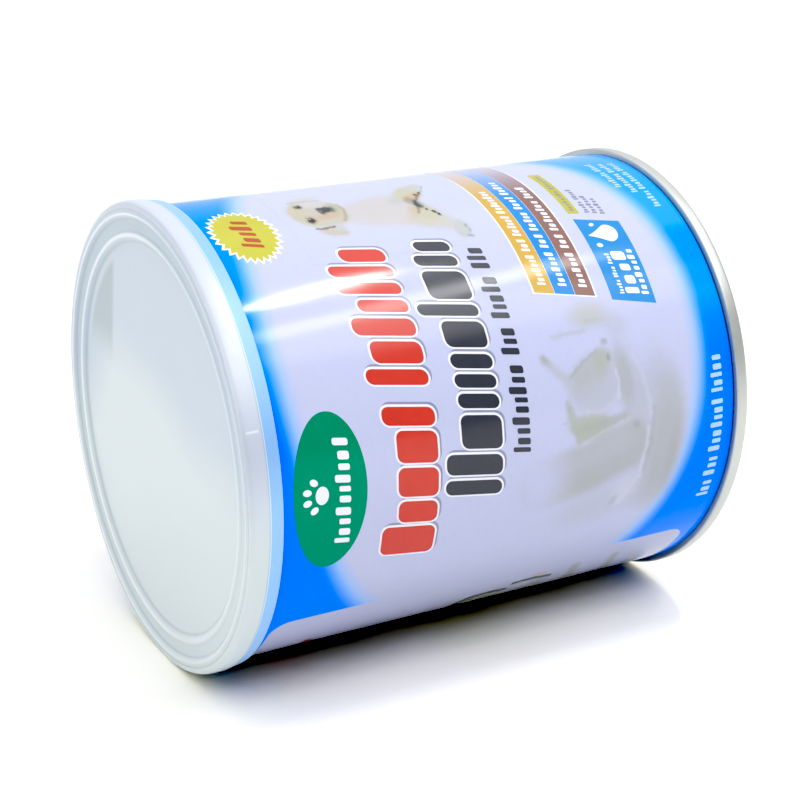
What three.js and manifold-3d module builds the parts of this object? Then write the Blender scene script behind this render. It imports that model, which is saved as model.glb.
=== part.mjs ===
// Powder tin lying on its side: printed steel wall, seamed steel ends and a clear plastic overcap.
// Millimetres. +X runs from the overcap to the bottom end, +Z is up, and the tin rests on z = 0.
import * as THREE from 'three';
import { mergeVertices } from 'three/addons/utils/BufferGeometryUtils.js';
import Module from 'manifold-3d';

const wasm = await Module();
wasm.setup();

// Driving dimensions of the tin
const LENGTH = 121;
const WALL_RADIUS = 49.5;
const AXIS_HEIGHT = 50.65;
const GAP = 0.3;
const SEGMENTS = 96;

// Seamed ends, by depth below the crest of the seam
const TOP_SEAM_RADIUS = 50.2;
const BOTTOM_SEAM_RADIUS = 50.8;
const SEAM_HEIGHT = 3;
const SEAM_CREST = 0.9;
const SHEET = 0.5;
const CHUCK_RADIUS = 48.2;
const PANEL_SINK = 4;
const RING_RADIUS = 41;
const RING_WIDTH = 5;
const RING_RISE = 0.9;

// Overcap, by depth below its outermost face
const CAP_RADIUS = 51.1;
const CAP_END_RADIUS = 50.6;
const CAP_DEPTH = 7.2;
const CAP_WALL = 0.8;
const CAP_CORNER = 1.6;
const CAP_FACE = 0.2;
const CAP_STEP = 4.1;
const CAP_STEP_IN = 0.2;
const HOOK_DEPTH = 4.9;
const LIP_RADIUS = 48.4;
const LEDGE_RADIUS = 47.2;
const LEDGE_DEPTH = 0.85;
const BEAD_RADIUS = 44;
const BEAD_RISE = 0.3;
const PANEL_RADIUS = 42.2;
const PANEL_DEPTH = 1.5;

const TOP_SEAM_DEPTH = CAP_FACE + CAP_WALL + GAP;

/** Points of a round corner in the profile plane, from one angle to another in degrees. */
function corner(radiusAt, depthAt, size, from, to, steps) {
  const points = [];
  for (let i = 0; i <= steps; i += 1) {
    const angle = THREE.MathUtils.degToRad(from + ((to - from) * i) / steps);
    points.push(new THREE.Vector2(radiusAt + size * Math.cos(angle), depthAt - size * Math.sin(angle)));
  }
  return points;
}

/** Turns a profile of radius and depth along the tin's axis into a solid lying along X. */
function turned(profile, atX, direction) {
  const points = profile.map((p) => new THREE.Vector2(p.x, atX + direction * p.y));
  if (direction < 0) {
    points.reverse();
  }
  const geometry = new THREE.LatheGeometry(points, SEGMENTS);
  geometry.rotateZ(-Math.PI / 2);
  geometry.translate(-LENGTH / 2, 0, AXIS_HEIGHT);
  return closed(geometry);
}

/** Merges shared corners, so that the surface is one closed body. */
function closed(geometry) {
  geometry.deleteAttribute('normal');
  geometry.deleteAttribute('uv');
  return mergeVertices(geometry, 1e-4);
}

function toSolid(geometry) {
  return new wasm.Manifold(
    new wasm.Mesh({
      numProp: 3,
      vertProperties: new Float32Array(geometry.attributes.position.array),
      triVerts: new Uint32Array(geometry.index.array),
    }),
  );
}

function toGeometry(solid) {
  const mesh = solid.getMesh();
  const geometry = new THREE.BufferGeometry();
  geometry.setAttribute('position', new THREE.BufferAttribute(new Float32Array(mesh.vertProperties), 3));
  geometry.setIndex(new THREE.BufferAttribute(new Uint32Array(mesh.triVerts), 1));
  return geometry;
}

/** Flattens whatever reaches below the surface that the tin lies on. */
function restedOnFloor(geometry) {
  const below = new THREE.BoxGeometry(2 * LENGTH, 4 * WALL_RADIUS, 2 * WALL_RADIUS);
  below.translate(0, 0, -WALL_RADIUS);
  return toGeometry(toSolid(geometry).subtract(toSolid(closed(below))));
}

/** Overcap: raised lip, sunk ledge and panel, rounded rim, and a skirt that hooks under the seam. */
function overcapProfile() {
  const hookRadius = WALL_RADIUS + GAP;
  const innerRadius = TOP_SEAM_RADIUS + GAP;
  const rimInside = CAP_FACE + CAP_WALL;
  return [
    new THREE.Vector2(0, PANEL_DEPTH),
    new THREE.Vector2(PANEL_RADIUS, PANEL_DEPTH),
    new THREE.Vector2(BEAD_RADIUS - 0.5, LEDGE_DEPTH - BEAD_RISE),
    new THREE.Vector2(BEAD_RADIUS + 0.3, LEDGE_DEPTH - BEAD_RISE),
    new THREE.Vector2(BEAD_RADIUS + 0.9, LEDGE_DEPTH),
    new THREE.Vector2(LEDGE_RADIUS, LEDGE_DEPTH),
    new THREE.Vector2(LIP_RADIUS - 0.4, 0.1),
    new THREE.Vector2(LIP_RADIUS - 0.1, 0),
    new THREE.Vector2(LIP_RADIUS + 0.2, 0),
    new THREE.Vector2(LIP_RADIUS + 0.6, CAP_FACE),
    ...corner(CAP_RADIUS - CAP_CORNER, CAP_FACE + CAP_CORNER, CAP_CORNER, 90, 0, 4),
    new THREE.Vector2(CAP_RADIUS, CAP_STEP),
    new THREE.Vector2(CAP_RADIUS - CAP_STEP_IN, CAP_STEP + 0.2),
    new THREE.Vector2(CAP_END_RADIUS, CAP_DEPTH - 0.2),
    new THREE.Vector2(CAP_END_RADIUS - 0.2, CAP_DEPTH),
    new THREE.Vector2(hookRadius, CAP_DEPTH),
    new THREE.Vector2(hookRadius, HOOK_DEPTH),
    new THREE.Vector2(innerRadius, TOP_SEAM_DEPTH + SEAM_HEIGHT + GAP),
    new THREE.Vector2(innerRadius, rimInside + CAP_WALL),
    new THREE.Vector2(innerRadius - CAP_WALL, rimInside),
    new THREE.Vector2(LIP_RADIUS - 0.4, rimInside),
    new THREE.Vector2(LEDGE_RADIUS - 0.2, LEDGE_DEPTH + CAP_WALL),
    new THREE.Vector2(BEAD_RADIUS, LEDGE_DEPTH + CAP_WALL),
    new THREE.Vector2(PANEL_RADIUS, PANEL_DEPTH + CAP_WALL),
    new THREE.Vector2(0, PANEL_DEPTH + CAP_WALL),
  ];
}

/** Seamed end: a sunk panel, the wall round it and the rolled seam, with one raised step if asked for. */
function endProfile(seamRadius, hasStep) {
  const seamInner = CHUCK_RADIUS + SEAM_CREST;
  const seamOuter = seamRadius - SEAM_CREST;
  const stepped = (depth) => [
    new THREE.Vector2(0, depth - RING_RISE),
    new THREE.Vector2(RING_RADIUS - RING_WIDTH, depth - RING_RISE),
    new THREE.Vector2(RING_RADIUS - RING_WIDTH + 1, depth),
    new THREE.Vector2(RING_RADIUS, depth),
    new THREE.Vector2(RING_RADIUS + 1, depth - RING_RISE / 2),
    new THREE.Vector2(RING_RADIUS + 4, depth - RING_RISE / 2),
    new THREE.Vector2(RING_RADIUS + 5, depth),
  ];
  const plain = (depth) => [new THREE.Vector2(0, depth)];
  const panel = hasStep ? stepped : plain;
  return [
    ...panel(PANEL_SINK),
    new THREE.Vector2(CHUCK_RADIUS - 0.6, PANEL_SINK),
    ...corner(seamInner, SEAM_CREST, SEAM_CREST, 180, 90, 2),
    ...corner(seamOuter, SEAM_CREST, SEAM_CREST, 90, 0, 3),
    new THREE.Vector2(seamRadius, SEAM_HEIGHT - 0.5),
    new THREE.Vector2(seamRadius - 0.6, SEAM_HEIGHT),
    new THREE.Vector2(CHUCK_RADIUS + SHEET, SEAM_HEIGHT),
    new THREE.Vector2(CHUCK_RADIUS, PANEL_SINK + SHEET),
    ...panel(PANEL_SINK + SHEET).reverse(),
  ];
}

/** Printed wall as a shut, filled cylinder, with a shallow seat at each end for the sunk panel. */
function wallProfile() {
  const seatRadius = CHUCK_RADIUS + SHEET + GAP;
  const rim = SEAM_HEIGHT + GAP;
  const seat = PANEL_SINK + SHEET + GAP;
  const topRim = TOP_SEAM_DEPTH + rim;
  const topSeat = TOP_SEAM_DEPTH + seat;
  return [
    new THREE.Vector2(0, topSeat),
    new THREE.Vector2(seatRadius, topSeat),
    new THREE.Vector2(seatRadius, topRim),
    new THREE.Vector2(WALL_RADIUS, topRim),
    new THREE.Vector2(WALL_RADIUS, LENGTH - rim),
    new THREE.Vector2(seatRadius, LENGTH - rim),
    new THREE.Vector2(seatRadius, LENGTH - seat),
    new THREE.Vector2(0, LENGTH - seat),
  ];
}

function clearPlastic() {
  return new THREE.MeshStandardMaterial({ color: 0xdce4e8, roughness: 0.35, metalness: 0 });
}

function steel() {
  return new THREE.MeshStandardMaterial({ color: 0xd8dccb, roughness: 0.3, metalness: 1 });
}

function printedSteel() {
  return new THREE.MeshStandardMaterial({ color: 0xd6deff, roughness: 0.2, metalness: 0 });
}

function named(name, geometry, material) {
  const mesh = new THREE.Mesh(geometry, material);
  mesh.name = name;
  return mesh;
}

const tin = new THREE.Group();
tin.add(named('lid', restedOnFloor(turned(overcapProfile(), 0, 1)), clearPlastic()));
tin.add(named('top_end', turned(endProfile(TOP_SEAM_RADIUS, false), TOP_SEAM_DEPTH, 1), steel()));
tin.add(named('body', turned(wallProfile(), 0, 1), printedSteel()));
tin.add(named('bottom_end', restedOnFloor(turned(endProfile(BOTTOM_SEAM_RADIUS, true), LENGTH, -1)), steel()));

export default tin;
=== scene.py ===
"""Puppy milk powder tin lying on its side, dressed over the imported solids.

A place on the tin is given in millimetres by how far down the tin it lies, from the face of the
cap, and how far round the wall it lies, upwards from the side that faces -Y. Meshes are in metres.
"""
import logging
import math
from abc import ABC, abstractmethod
from dataclasses import dataclass, field
from enum import Enum
from typing import Any, Mapping, Sequence, Union

import bpy
import numpy as np
from mathutils import Matrix, Vector


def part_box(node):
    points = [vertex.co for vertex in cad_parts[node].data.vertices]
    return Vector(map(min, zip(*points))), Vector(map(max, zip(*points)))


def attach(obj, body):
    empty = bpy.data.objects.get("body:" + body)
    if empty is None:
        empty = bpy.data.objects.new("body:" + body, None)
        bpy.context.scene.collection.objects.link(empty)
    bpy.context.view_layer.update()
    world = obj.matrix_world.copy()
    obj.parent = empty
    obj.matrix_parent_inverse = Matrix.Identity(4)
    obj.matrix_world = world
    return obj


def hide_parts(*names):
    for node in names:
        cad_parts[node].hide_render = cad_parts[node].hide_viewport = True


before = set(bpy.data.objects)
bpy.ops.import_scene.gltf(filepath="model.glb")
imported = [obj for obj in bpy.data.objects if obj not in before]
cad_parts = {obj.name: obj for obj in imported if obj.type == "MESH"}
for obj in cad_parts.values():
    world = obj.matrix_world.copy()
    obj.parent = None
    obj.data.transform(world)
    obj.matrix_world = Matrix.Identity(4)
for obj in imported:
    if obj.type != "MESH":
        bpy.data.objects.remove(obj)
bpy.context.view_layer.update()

LOG = logging.getLogger("tin")
MM = 0.001
BODY = "root"

Colour = tuple[float, float, float]
Number = Union[int, float]


def linear(red: int, green: int, blue: int) -> Colour:
    """Turns a screen colour of 0 to 255 into linear light.

    Args:
        red: Screen value of red.
        green: Screen value of green.
        blue: Screen value of blue.

    Returns:
        The colour in linear light, 0 to 1.
    """
    shares = (value / 255 for value in (red, green, blue))
    return tuple(s / 12.92 if s <= 0.04045 else ((s + 0.055) / 1.055) ** 2.4 for s in shares)


@dataclass(frozen=True)
class TinFrame:
    """The tin's main sizes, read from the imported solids, in millimetres.

    Attributes:
        cap_face: Where the face of the cap lies on X.
        axis_height: Height of the tin's axis above the floor.
        wall_radius: Radius of the printed wall.
        length: From the face of the cap to the crest of the bottom seam.
    """

    cap_face: float
    axis_height: float
    wall_radius: float
    length: float

    @classmethod
    def from_solids(cls) -> "TinFrame":
        """Reads the sizes from the boxes of the solids.

        Returns:
            The frame that every piece is built in.
        """
        wall_low, wall_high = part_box("body")
        cap_low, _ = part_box("lid")
        _, base_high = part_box("bottom_end")
        return cls(
            cap_face=cap_low[0] / MM,
            axis_height=(wall_low[2] + wall_high[2]) / 2 / MM,
            wall_radius=(wall_high[1] - wall_low[1]) / 2 / MM,
            length=(base_high[0] - cap_low[0]) / MM,
        )

    def place(self, radius: np.ndarray, down: np.ndarray, turn: np.ndarray) -> np.ndarray:
        """Puts cylindrical coordinates into the row frame.

        A point at a radius and a turn lies at -radius cos(turn) on Y and radius sin(turn) above the
        axis. What would sink below the floor is pressed flat on it.

        Args:
            radius: Distance from the tin's axis, in millimetres.
            down: Distance down the tin from the face of the cap, in millimetres.
            turn: Angle upwards from the side that faces -Y, in radians.

        Returns:
            Points in metres, one row each.
        """
        radius, down, turn = np.broadcast_arrays(radius, down, turn)
        height = np.maximum(self.axis_height + radius * np.sin(turn), 0.0)
        points = np.stack([self.cap_face + down, -radius * np.cos(turn), height], axis=-1)
        return points.reshape(-1, 3) * MM


def smooth_step(low: float, high: float, value: np.ndarray) -> np.ndarray:
    """Rises from 0 at low to 1 at high as 3t squared less 2t cubed.

    Args:
        low: Value where the step starts.
        high: Value where it ends.
        value: Values to map.

    Returns:
        The step at each value.
    """
    t = np.clip((value - low) / (high - low), 0.0, 1.0)
    return t * t * (3.0 - 2.0 * t)


def softened(corners: Sequence[tuple[float, float, float]], steps: int = 5) -> np.ndarray:
    """Rounds the corners of a profile.

    Each corner with a reach becomes a parabolic arc that starts and ends that far from it: a point
    at share s is (1-s)^2 times the start, 2s(1-s) times the corner and s^2 times the end.

    Args:
        corners: Radius, depth and reach of rounding of each corner, in millimetres.
        steps: Pieces that each arc is cut into.

    Returns:
        Radius and depth of each point of the profile.
    """
    spots = np.array([corner[:2] for corner in corners], float)
    share = np.linspace(0.0, 1.0, steps + 1)[:, None]
    runs = [spots[:1]]
    for i in range(1, len(spots) - 1):
        reach = corners[i][2]
        if reach == 0.0:
            runs.append(spots[i : i + 1])
            continue
        before, after = spots[i - 1] - spots[i], spots[i + 1] - spots[i]
        start = spots[i] + before * min(reach / np.hypot(*before), 0.5)
        end = spots[i] + after * min(reach / np.hypot(*after), 0.5)
        runs.append((1 - share) ** 2 * start + 2 * share * (1 - share) * spots[i] + share**2 * end)
    runs.append(spots[-1:])
    return np.vstack(runs)


def grid_faces(rows: int, columns: int, closed: bool = False) -> np.ndarray:
    """Lists the four-sided faces of a grid of points.

    Args:
        rows: Rows of points.
        columns: Points in a row.
        closed: True if the last point of a row joins the first.

    Returns:
        Four point numbers for each face.
    """
    row, column = np.meshgrid(np.arange(rows - 1), np.arange(columns - (not closed)), indexing="ij")
    after = (column + 1) % columns
    near, far = row * columns, (row + 1) * columns
    return np.stack([near + column, near + after, far + after, far + column], -1).reshape(-1, 4)


def solid_piece(
    name: str,
    points: np.ndarray,
    quads: np.ndarray,
    fans: np.ndarray = np.empty((0, 3), int),
) -> bpy.types.Object:
    """Makes a smooth closed mesh, with its faces turned outwards.

    Each face is cut into triangles. The sum of their triple products has the sign of the enclosed
    volume, which is below 0 where the faces point in, and they are then reversed.

    Args:
        name: Name of the piece.
        points: Points in metres.
        quads: Point numbers of each four-sided face.
        fans: Point numbers of each triangle.

    Returns:
        The new piece, linked to the scene.
    """
    triangles = np.vstack([quads[:, :3], quads[:, [0, 2, 3]], fans])
    first, middle, last = (points[column] for column in triangles.T)
    if np.einsum("ij,ij->", first, np.cross(middle, last)) < 0:
        quads, fans = quads[:, ::-1], fans[:, ::-1]
    mesh = bpy.data.meshes.new(name)
    mesh.from_pydata(points, [], quads.tolist() + fans.tolist())
    mesh.validate()
    mesh.shade_smooth()
    mesh.set_sharp_from_angle(angle=math.radians(40.0))
    piece = bpy.data.objects.new(name, mesh)
    bpy.context.scene.collection.objects.link(piece)
    return piece


def turned(name: str, tin: TinFrame, profile: np.ndarray, around: int = 256) -> bpy.types.Object:
    """Turns a profile about the tin's axis into a closed piece.

    The profile starts and ends on the axis, where all its turns share one point.

    Args:
        name: Name of the piece.
        tin: The tin's frame.
        profile: Radius and depth down the tin of each point.
        around: Points round the tin.

    Returns:
        The new piece.
    """
    rings = profile[1:-1]
    turn = np.arange(around) * (2 * math.pi / around)
    body = tin.place(rings[:, :1], rings[:, 1:], turn[None, :])
    poles = tin.place(profile[[0, -1], 0], profile[[0, -1], 1], np.zeros(2))
    points = np.vstack([body, poles])
    near, far = np.full(around, len(body)), np.full(around, len(body) + 1)
    here = np.arange(around)
    after = np.roll(here, -1)
    last = (len(rings) - 1) * around
    near_fan = np.stack([near, after, here], axis=-1)
    far_fan = np.stack([far, last + here, last + after], axis=-1)
    quads = grid_faces(len(rings), around, closed=True)
    return solid_piece(name, points, quads, np.vstack([near_fan, far_fan]))


class Signal:
    """A value that changes over a surface, held as one output socket, with arithmetic."""

    def __init__(self, tree: "Tree", socket: bpy.types.NodeSocket) -> None:
        """Holds an output socket of a node tree."""
        self.tree = tree
        self.socket = socket

    def _math(self, operation: str, first: "Operand", second: "Operand") -> "Signal":
        """Adds a Math node on two values."""
        return self.tree.node("ShaderNodeMath", {"operation": operation}, {0: first, 1: second})

    def __add__(self, other: "Operand") -> "Signal":
        """Sum."""
        return self._math("ADD", self, other)

    __radd__ = __add__

    def __sub__(self, other: "Operand") -> "Signal":
        """Difference."""
        return self._math("SUBTRACT", self, other)

    def __rsub__(self, other: "Operand") -> "Signal":
        """Difference from a number."""
        return self._math("SUBTRACT", other, self)

    def __mul__(self, other: "Operand") -> "Signal":
        """Product."""
        return self._math("MULTIPLY", self, other)

    __rmul__ = __mul__

    def __truediv__(self, other: "Operand") -> "Signal":
        """Quotient."""
        return self._math("DIVIDE", self, other)

    def __pow__(self, power: Number) -> "Signal":
        """Power, of a value that isn't negative."""
        return self._math("POWER", self, power)

    def size(self) -> "Signal":
        """Distance from zero."""
        return self._math("ABSOLUTE", self, 0.0)

    def at_least(self, floor: "Operand") -> "Signal":
        """The larger of two values."""
        return self._math("MAXIMUM", self, floor)

    def step(self, low: float, high: float) -> "Signal":
        """Smooth step from 0 at low to 1 at high.

        Args:
            low: Value where the step starts.
            high: Value where it ends, which may be the smaller one.

        Returns:
            The step.
        """
        flip = high < low
        limits = {"From Min": min(low, high), "From Max": max(low, high)}
        limits |= {"To Min": 1.0 if flip else 0.0, "To Max": 0.0 if flip else 1.0}
        settings = {"interpolation_type": "SMOOTHSTEP"}
        return self.tree.node("ShaderNodeMapRange", settings, {"Value": self, **limits})

    def line(self, middle: float, half: float) -> "Signal":
        """1 at a value, smoothly down to 0 at half a width on both sides of it."""
        return (self - middle).size().step(half, 0.0)


Operand = Union[Signal, int, float]


class Tree:
    """A node tree that expressions add their nodes to."""

    def __init__(self, nodes: bpy.types.NodeTree) -> None:
        """Takes the node tree to add to."""
        self.nodes = nodes

    def fill(self, socket: bpy.types.NodeSocket, value: Any) -> None:
        """Links a signal to a socket, or sets a plain value on it.

        Args:
            socket: The socket.
            value: A signal, a number or a colour.
        """
        if isinstance(value, Signal):
            self.nodes.links.new(value.socket, socket)
        elif socket.type == "RGBA" and len(value) == 3:
            socket.default_value = (*value, 1.0)
        else:
            socket.default_value = value

    @staticmethod
    def _find(sockets: Any, key: Union[int, str]) -> bpy.types.NodeSocket:
        """Finds a socket by number, identifier or name."""
        if isinstance(key, int):
            return sockets[key]
        return next((s for s in sockets if s.identifier == key), None) or sockets[key]

    def node(
        self,
        kind: str,
        settings: Mapping[str, Any],
        inputs: Mapping[Union[int, str], Any],
        output: Union[int, str] = 0,
    ) -> Signal:
        """Adds a node.

        Args:
            kind: Type of the node.
            settings: Its settings, which are set first.
            inputs: Values or signals of its sockets, by number, identifier or name.
            output: The output to hand on.

        Returns:
            The signal of that output.
        """
        made = self.nodes.nodes.new(kind)
        for key, value in settings.items():
            setattr(made, key, value)
        for key, value in inputs.items():
            self.fill(self._find(made.inputs, key), value)
        return Signal(self, self._find(made.outputs, output))

    def split(self, vector: Signal) -> tuple[Signal, Signal, Signal]:
        """The three coordinates of a vector."""
        parts = self.node("ShaderNodeSeparateXYZ", {}, {0: vector})
        return tuple(Signal(self, socket) for socket in parts.socket.node.outputs)


class Paint(Tree):
    """The node tree of one finish, round a principled shader."""

    def __init__(self, name: str, **constants: Any) -> None:
        """Starts a material with one principled shader.

        Args:
            name: Name of the material.
            constants: Values of the shader's sockets, by name with underscores for spaces.
        """
        self.material = bpy.data.materials.new(name)
        self.material.use_nodes = True
        super().__init__(self.material.node_tree)
        self.shader = next(n for n in self.nodes.nodes if n.type == "BSDF_PRINCIPLED")
        self.feed(**constants)

    def feed(self, **values: Any) -> bpy.types.Material:
        """Feeds the shader's sockets.

        Args:
            values: Signals or constants, by socket name with underscores for spaces.

        Returns:
            The material.
        """
        for key, value in values.items():
            self.fill(self.shader.inputs[key.replace("_", " ")], value)
        return self.material

    def place(self) -> Signal:
        """The point on the piece, in the row frame's metres."""
        return self.node("ShaderNodeTexCoord", {}, {}, "Object")

    def turned_place(self, tin: TinFrame) -> "TurnedPlace":
        """The point on the piece, in millimetres along and about the tin's axis.

        Args:
            tin: The tin's frame.

        Returns:
            The place.
        """
        x, y, z = self.split(self.place())
        front, above = y / -MM, z / MM - tin.axis_height
        turn = self.node("ShaderNodeMath", {"operation": "ARCTAN2"}, {0: above, 1: front})
        radius = (front * front + above * above) ** 0.5
        return TurnedPlace(x / MM - tin.cap_face, radius, turn, front, above)

    def noise(self, per_metre: float, detail: float = 2.0, stretch: Colour = (1, 1, 1)) -> Signal:
        """Cloudy noise between 0 and 1.

        Args:
            per_metre: Features in a metre.
            detail: Octaves of finer noise.
            stretch: How much denser the noise is along each axis.

        Returns:
            The noise.
        """
        vector = {0: self.place(), 1: stretch}
        scaled = self.node("ShaderNodeVectorMath", {"operation": "MULTIPLY"}, vector)
        sockets = {"Vector": scaled, "Scale": per_metre, "Detail": detail}
        return self.node("ShaderNodeTexNoise", {}, sockets, "Fac")

    def mix(self, share: Operand, first: Any, second: Any) -> Signal:
        """Mixes two colours.

        Args:
            share: Share of the second colour.
            first: Colour at share 0.
            second: Colour at share 1.

        Returns:
            The mixed colour.
        """
        sockets = {"Factor_Float": share, "A_Color": first, "B_Color": second}
        return self.node("ShaderNodeMix", {"data_type": "RGBA"}, sockets, "Result_Color")

    def tinted(self, colour: Any, shade: Signal) -> Signal:
        """Multiplies a colour by a grey value."""
        grey = self.node("ShaderNodeCombineColor", {}, {0: shade, 1: shade, 2: shade})
        sockets = {"Factor_Float": 1.0, "A_Color": colour, "B_Color": grey}
        settings = {"data_type": "RGBA", "blend_type": "MULTIPLY"}
        return self.node("ShaderNodeMix", settings, sockets, "Result_Color")

    def bump(self, height: Signal, depth: float) -> Signal:
        """Turns a height between 0 and 1 into a bumped normal.

        Args:
            height: The height.
            depth: What a height of 1 stands for, in metres.

        Returns:
            The normal.
        """
        return self.node("ShaderNodeBump", {}, {"Height": height, "Distance": depth, "Strength": 1.0})


@dataclass(frozen=True)
class TurnedPlace:
    """A point in a material, along and about the tin's axis.

    Attributes:
        down: Millimetres down the tin.
        radius: Millimetres from the axis.
        turn: Radians upwards from the side that faces -Y.
        front: Millimetres in front of the axis.
        above: Millimetres above the axis.
    """

    down: Signal
    radius: Signal
    turn: Signal
    front: Signal
    above: Signal


@dataclass(frozen=True)
class Varnish:
    """Clear varnish over print.

    Attributes:
        ior: Its refractive index, low for its faint reflections.
        roughness: Its middle roughness.
        ripple_mm: Depth of the slow ripple of the sheet.
        ripples: Ripples in a metre.
    """

    ior: float = 1.34
    roughness: float = 0.12
    ripple_mm: float = 0.03
    ripples: float = 70.0

    def over(self, paint: Paint, colour: Signal) -> bpy.types.Material:
        """Adds press mottle, uneven gloss and sheet ripple to a colour.

        Args:
            paint: The paint that was started.
            colour: Its colour.

        Returns:
            The finished material.
        """
        mottle = paint.noise(900.0, 3.0) * 0.05 + 0.975
        gloss = paint.noise(90.0) * 0.12 + (self.roughness - 0.06)
        ripple = paint.bump(paint.noise(self.ripples, 1.0, (0.6, 1.0, 1.0)), self.ripple_mm * MM)
        return paint.feed(Base_Color=paint.tinted(colour, mottle), Roughness=gloss, Normal=ripple)


@dataclass(frozen=True)
class WallPrint:
    """Soft colour fields of the wall: a lilac-white oval on blue, and a crisp panel at the back.
    They also hold painted light and shade: the blue lighter towards the top, painted reflection
    bands on the far end's blue, and painted shade over the lower half.

    Attributes:
        tin: The tin's frame.
        blue: Blue of both ends.
        top_light_blue: Painted light: the lighter blue that the ends turn into towards the top.
        reflection_blue: Painted reflection: the paler blue of the bands on the far end's blue.
        lilac: Lilac white of the front and the back panel.
        halo: Sky blue that the lilac passes through on its way to blue.
        lower_shade: Painted shade: greyer lilac that darkens the lower half a little.
        centre_mm: Middle of the front, round the wall and down the tin.
        reach_mm: Half-lengths of the oval, round the wall and down the tin.
        lower_stretch: Share by which the oval's lower far quarter reaches further round.
        far_stretch: Share by which its far half reaches further down the tin.
        first_fade: Where the lilac starts and ends turning into the halo, as shares of its reach.
        last_fade: Where the halo starts and ends turning blue.
        top_light_share: Height over the axis where the painted lighter blue starts and ends, as shares
            of the radius.
        reflection_from: Turns where the wide painted reflection band starts and is full, in radians.
        reflection_line: Middle and half-width of the narrow painted reflection band.
        reflection_down_mm: Where the painted reflection bands start and are full, down the tin.
        lower_shade_above_mm: Where the painted shade starts and is full, above the axis.
        panel_mm: Half-lengths of the back panel, round the wall and down the tin.
        panel_turn: Middle of the back panel, in radians round the wall.
        panel_down_mm: Middle of the back panel down the tin.
        panel_corner_mm: Corner radius of the back panel.
    """

    tin: TinFrame
    blue: Colour = (0.004, 0.21, 0.93)
    top_light_blue: Colour = (0.004, 0.265, 0.93)
    reflection_blue: Colour = (0.06, 0.36, 0.93)
    lilac: Colour = linear(188, 193, 222)
    halo: Colour = (0.25, 0.48, 0.93)
    lower_shade: Colour = linear(120, 123, 150)
    centre_mm: tuple[float, float] = (30.0, 59.7)
    reach_mm: tuple[float, float] = (76.0, 49.5)
    lower_stretch: float = 0.09
    far_stretch: float = 0.015
    first_fade: tuple[float, float] = (0.93, 1.03)
    last_fade: tuple[float, float] = (0.98, 1.065)
    top_light_share: tuple[float, float] = (0.25, 0.6)
    reflection_from: tuple[float, float] = (0.88, 0.96)
    reflection_line: tuple[float, float] = (0.56, 0.1)
    reflection_down_mm: tuple[float, float] = (90.0, 106.0)
    lower_shade_above_mm: tuple[float, float] = (-17.0, -40.0)
    panel_mm: tuple[float, float] = (95.0, 52.4)
    panel_turn: float = math.radians(214.7)
    panel_down_mm: float = 61.4
    panel_corner_mm: float = 4.6

    def colour(self, paint: Paint) -> Signal:
        """Paints the fields, with their painted light and shade.

        Args:
            paint: The paint to add to.

        Returns:
            The colour of the fields.
        """
        at = paint.turned_place(self.tin)
        across = (at.turn * self.tin.wall_radius - self.centre_mm[0]) / self.reach_mm[0]
        along = (at.down - self.centre_mm[1]) / self.reach_mm[1]
        far = along.step(-0.2, 0.2)
        across = across * (1.0 - across.step(0.1, -0.1) * far * self.lower_stretch)
        along = along * (1.0 - far * self.far_stretch)
        away = (across * across + along * along) ** 0.5
        # Painted light: the blue of the ends turns lighter towards the top.
        top_light = (at.above / self.tin.wall_radius).step(*self.top_light_share)
        ends = paint.mix(top_light, self.blue, self.top_light_blue)
        # Painted reflection: paler bands on the far end's blue, a wide one high up and a narrow one.
        wide = at.turn.step(*self.reflection_from) * at.above.step(0.0, 25.0) * 0.7
        bright = wide + at.turn.line(*self.reflection_line) * 0.35
        ends = paint.mix(bright * at.down.step(*self.reflection_down_mm), ends, self.reflection_blue)
        # Painted shade: the lilac, and the back panel with it, greys towards the bottom.
        lilac = paint.mix(at.above.step(*self.lower_shade_above_mm) * 0.32, self.lilac, self.lower_shade)
        glow = paint.mix(away.step(*self.first_fade), lilac, self.halo)
        fields = paint.mix(away.step(*self.last_fade), glow, ends)
        return paint.mix(self._panel_edge(paint, at).step(0.1, -0.1), fields, lilac)

    def _panel_edge(self, paint: Paint, at: TurnedPlace) -> Signal:
        """Distance outside the back panel's rounded outline, in millimetres.

        The turn is measured from the middle of the back. The distance is that to a box smaller by
        the corner's radius, less that radius.

        Args:
            paint: The paint to add to.
            at: The place on the wall.

        Returns:
            The distance, negative on the panel.
        """
        cosine, sine = math.cos(self.panel_turn), math.sin(self.panel_turn)
        ahead = at.front * cosine + at.above * sine
        aside = at.above * cosine - at.front * sine
        turn = paint.node("ShaderNodeMath", {"operation": "ARCTAN2"}, {0: aside, 1: ahead})
        corner = self.panel_corner_mm
        across = (turn * self.tin.wall_radius).size() - (self.panel_mm[0] - corner)
        along = (at.down - self.panel_down_mm).size() - (self.panel_mm[1] - corner)
        wide, long = across.at_least(0.0), along.at_least(0.0)
        return (wide * wide + long * long) ** 0.5 - corner


class Ink(Enum):
    """Printed inks and their colours in linear light."""

    RED = linear(203, 92, 86)
    DEEP_RED = linear(150, 40, 60)
    RUST = linear(176, 96, 66)
    CHARCOAL = linear(88, 90, 97)
    SHADOW = linear(150, 153, 178)
    WHITE = linear(232, 234, 246)
    GREEN = linear(40, 146, 117)
    YELLOW = linear(191, 188, 84)
    LIME = linear(180, 177, 88)
    SKY = linear(64, 141, 207)
    BLUE = linear(60, 138, 208)
    ORANGE = linear(200, 165, 86)
    BROWN = linear(141, 110, 104)
    GREY = linear(140, 143, 160)
    ICE = linear(172, 205, 240)


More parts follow.
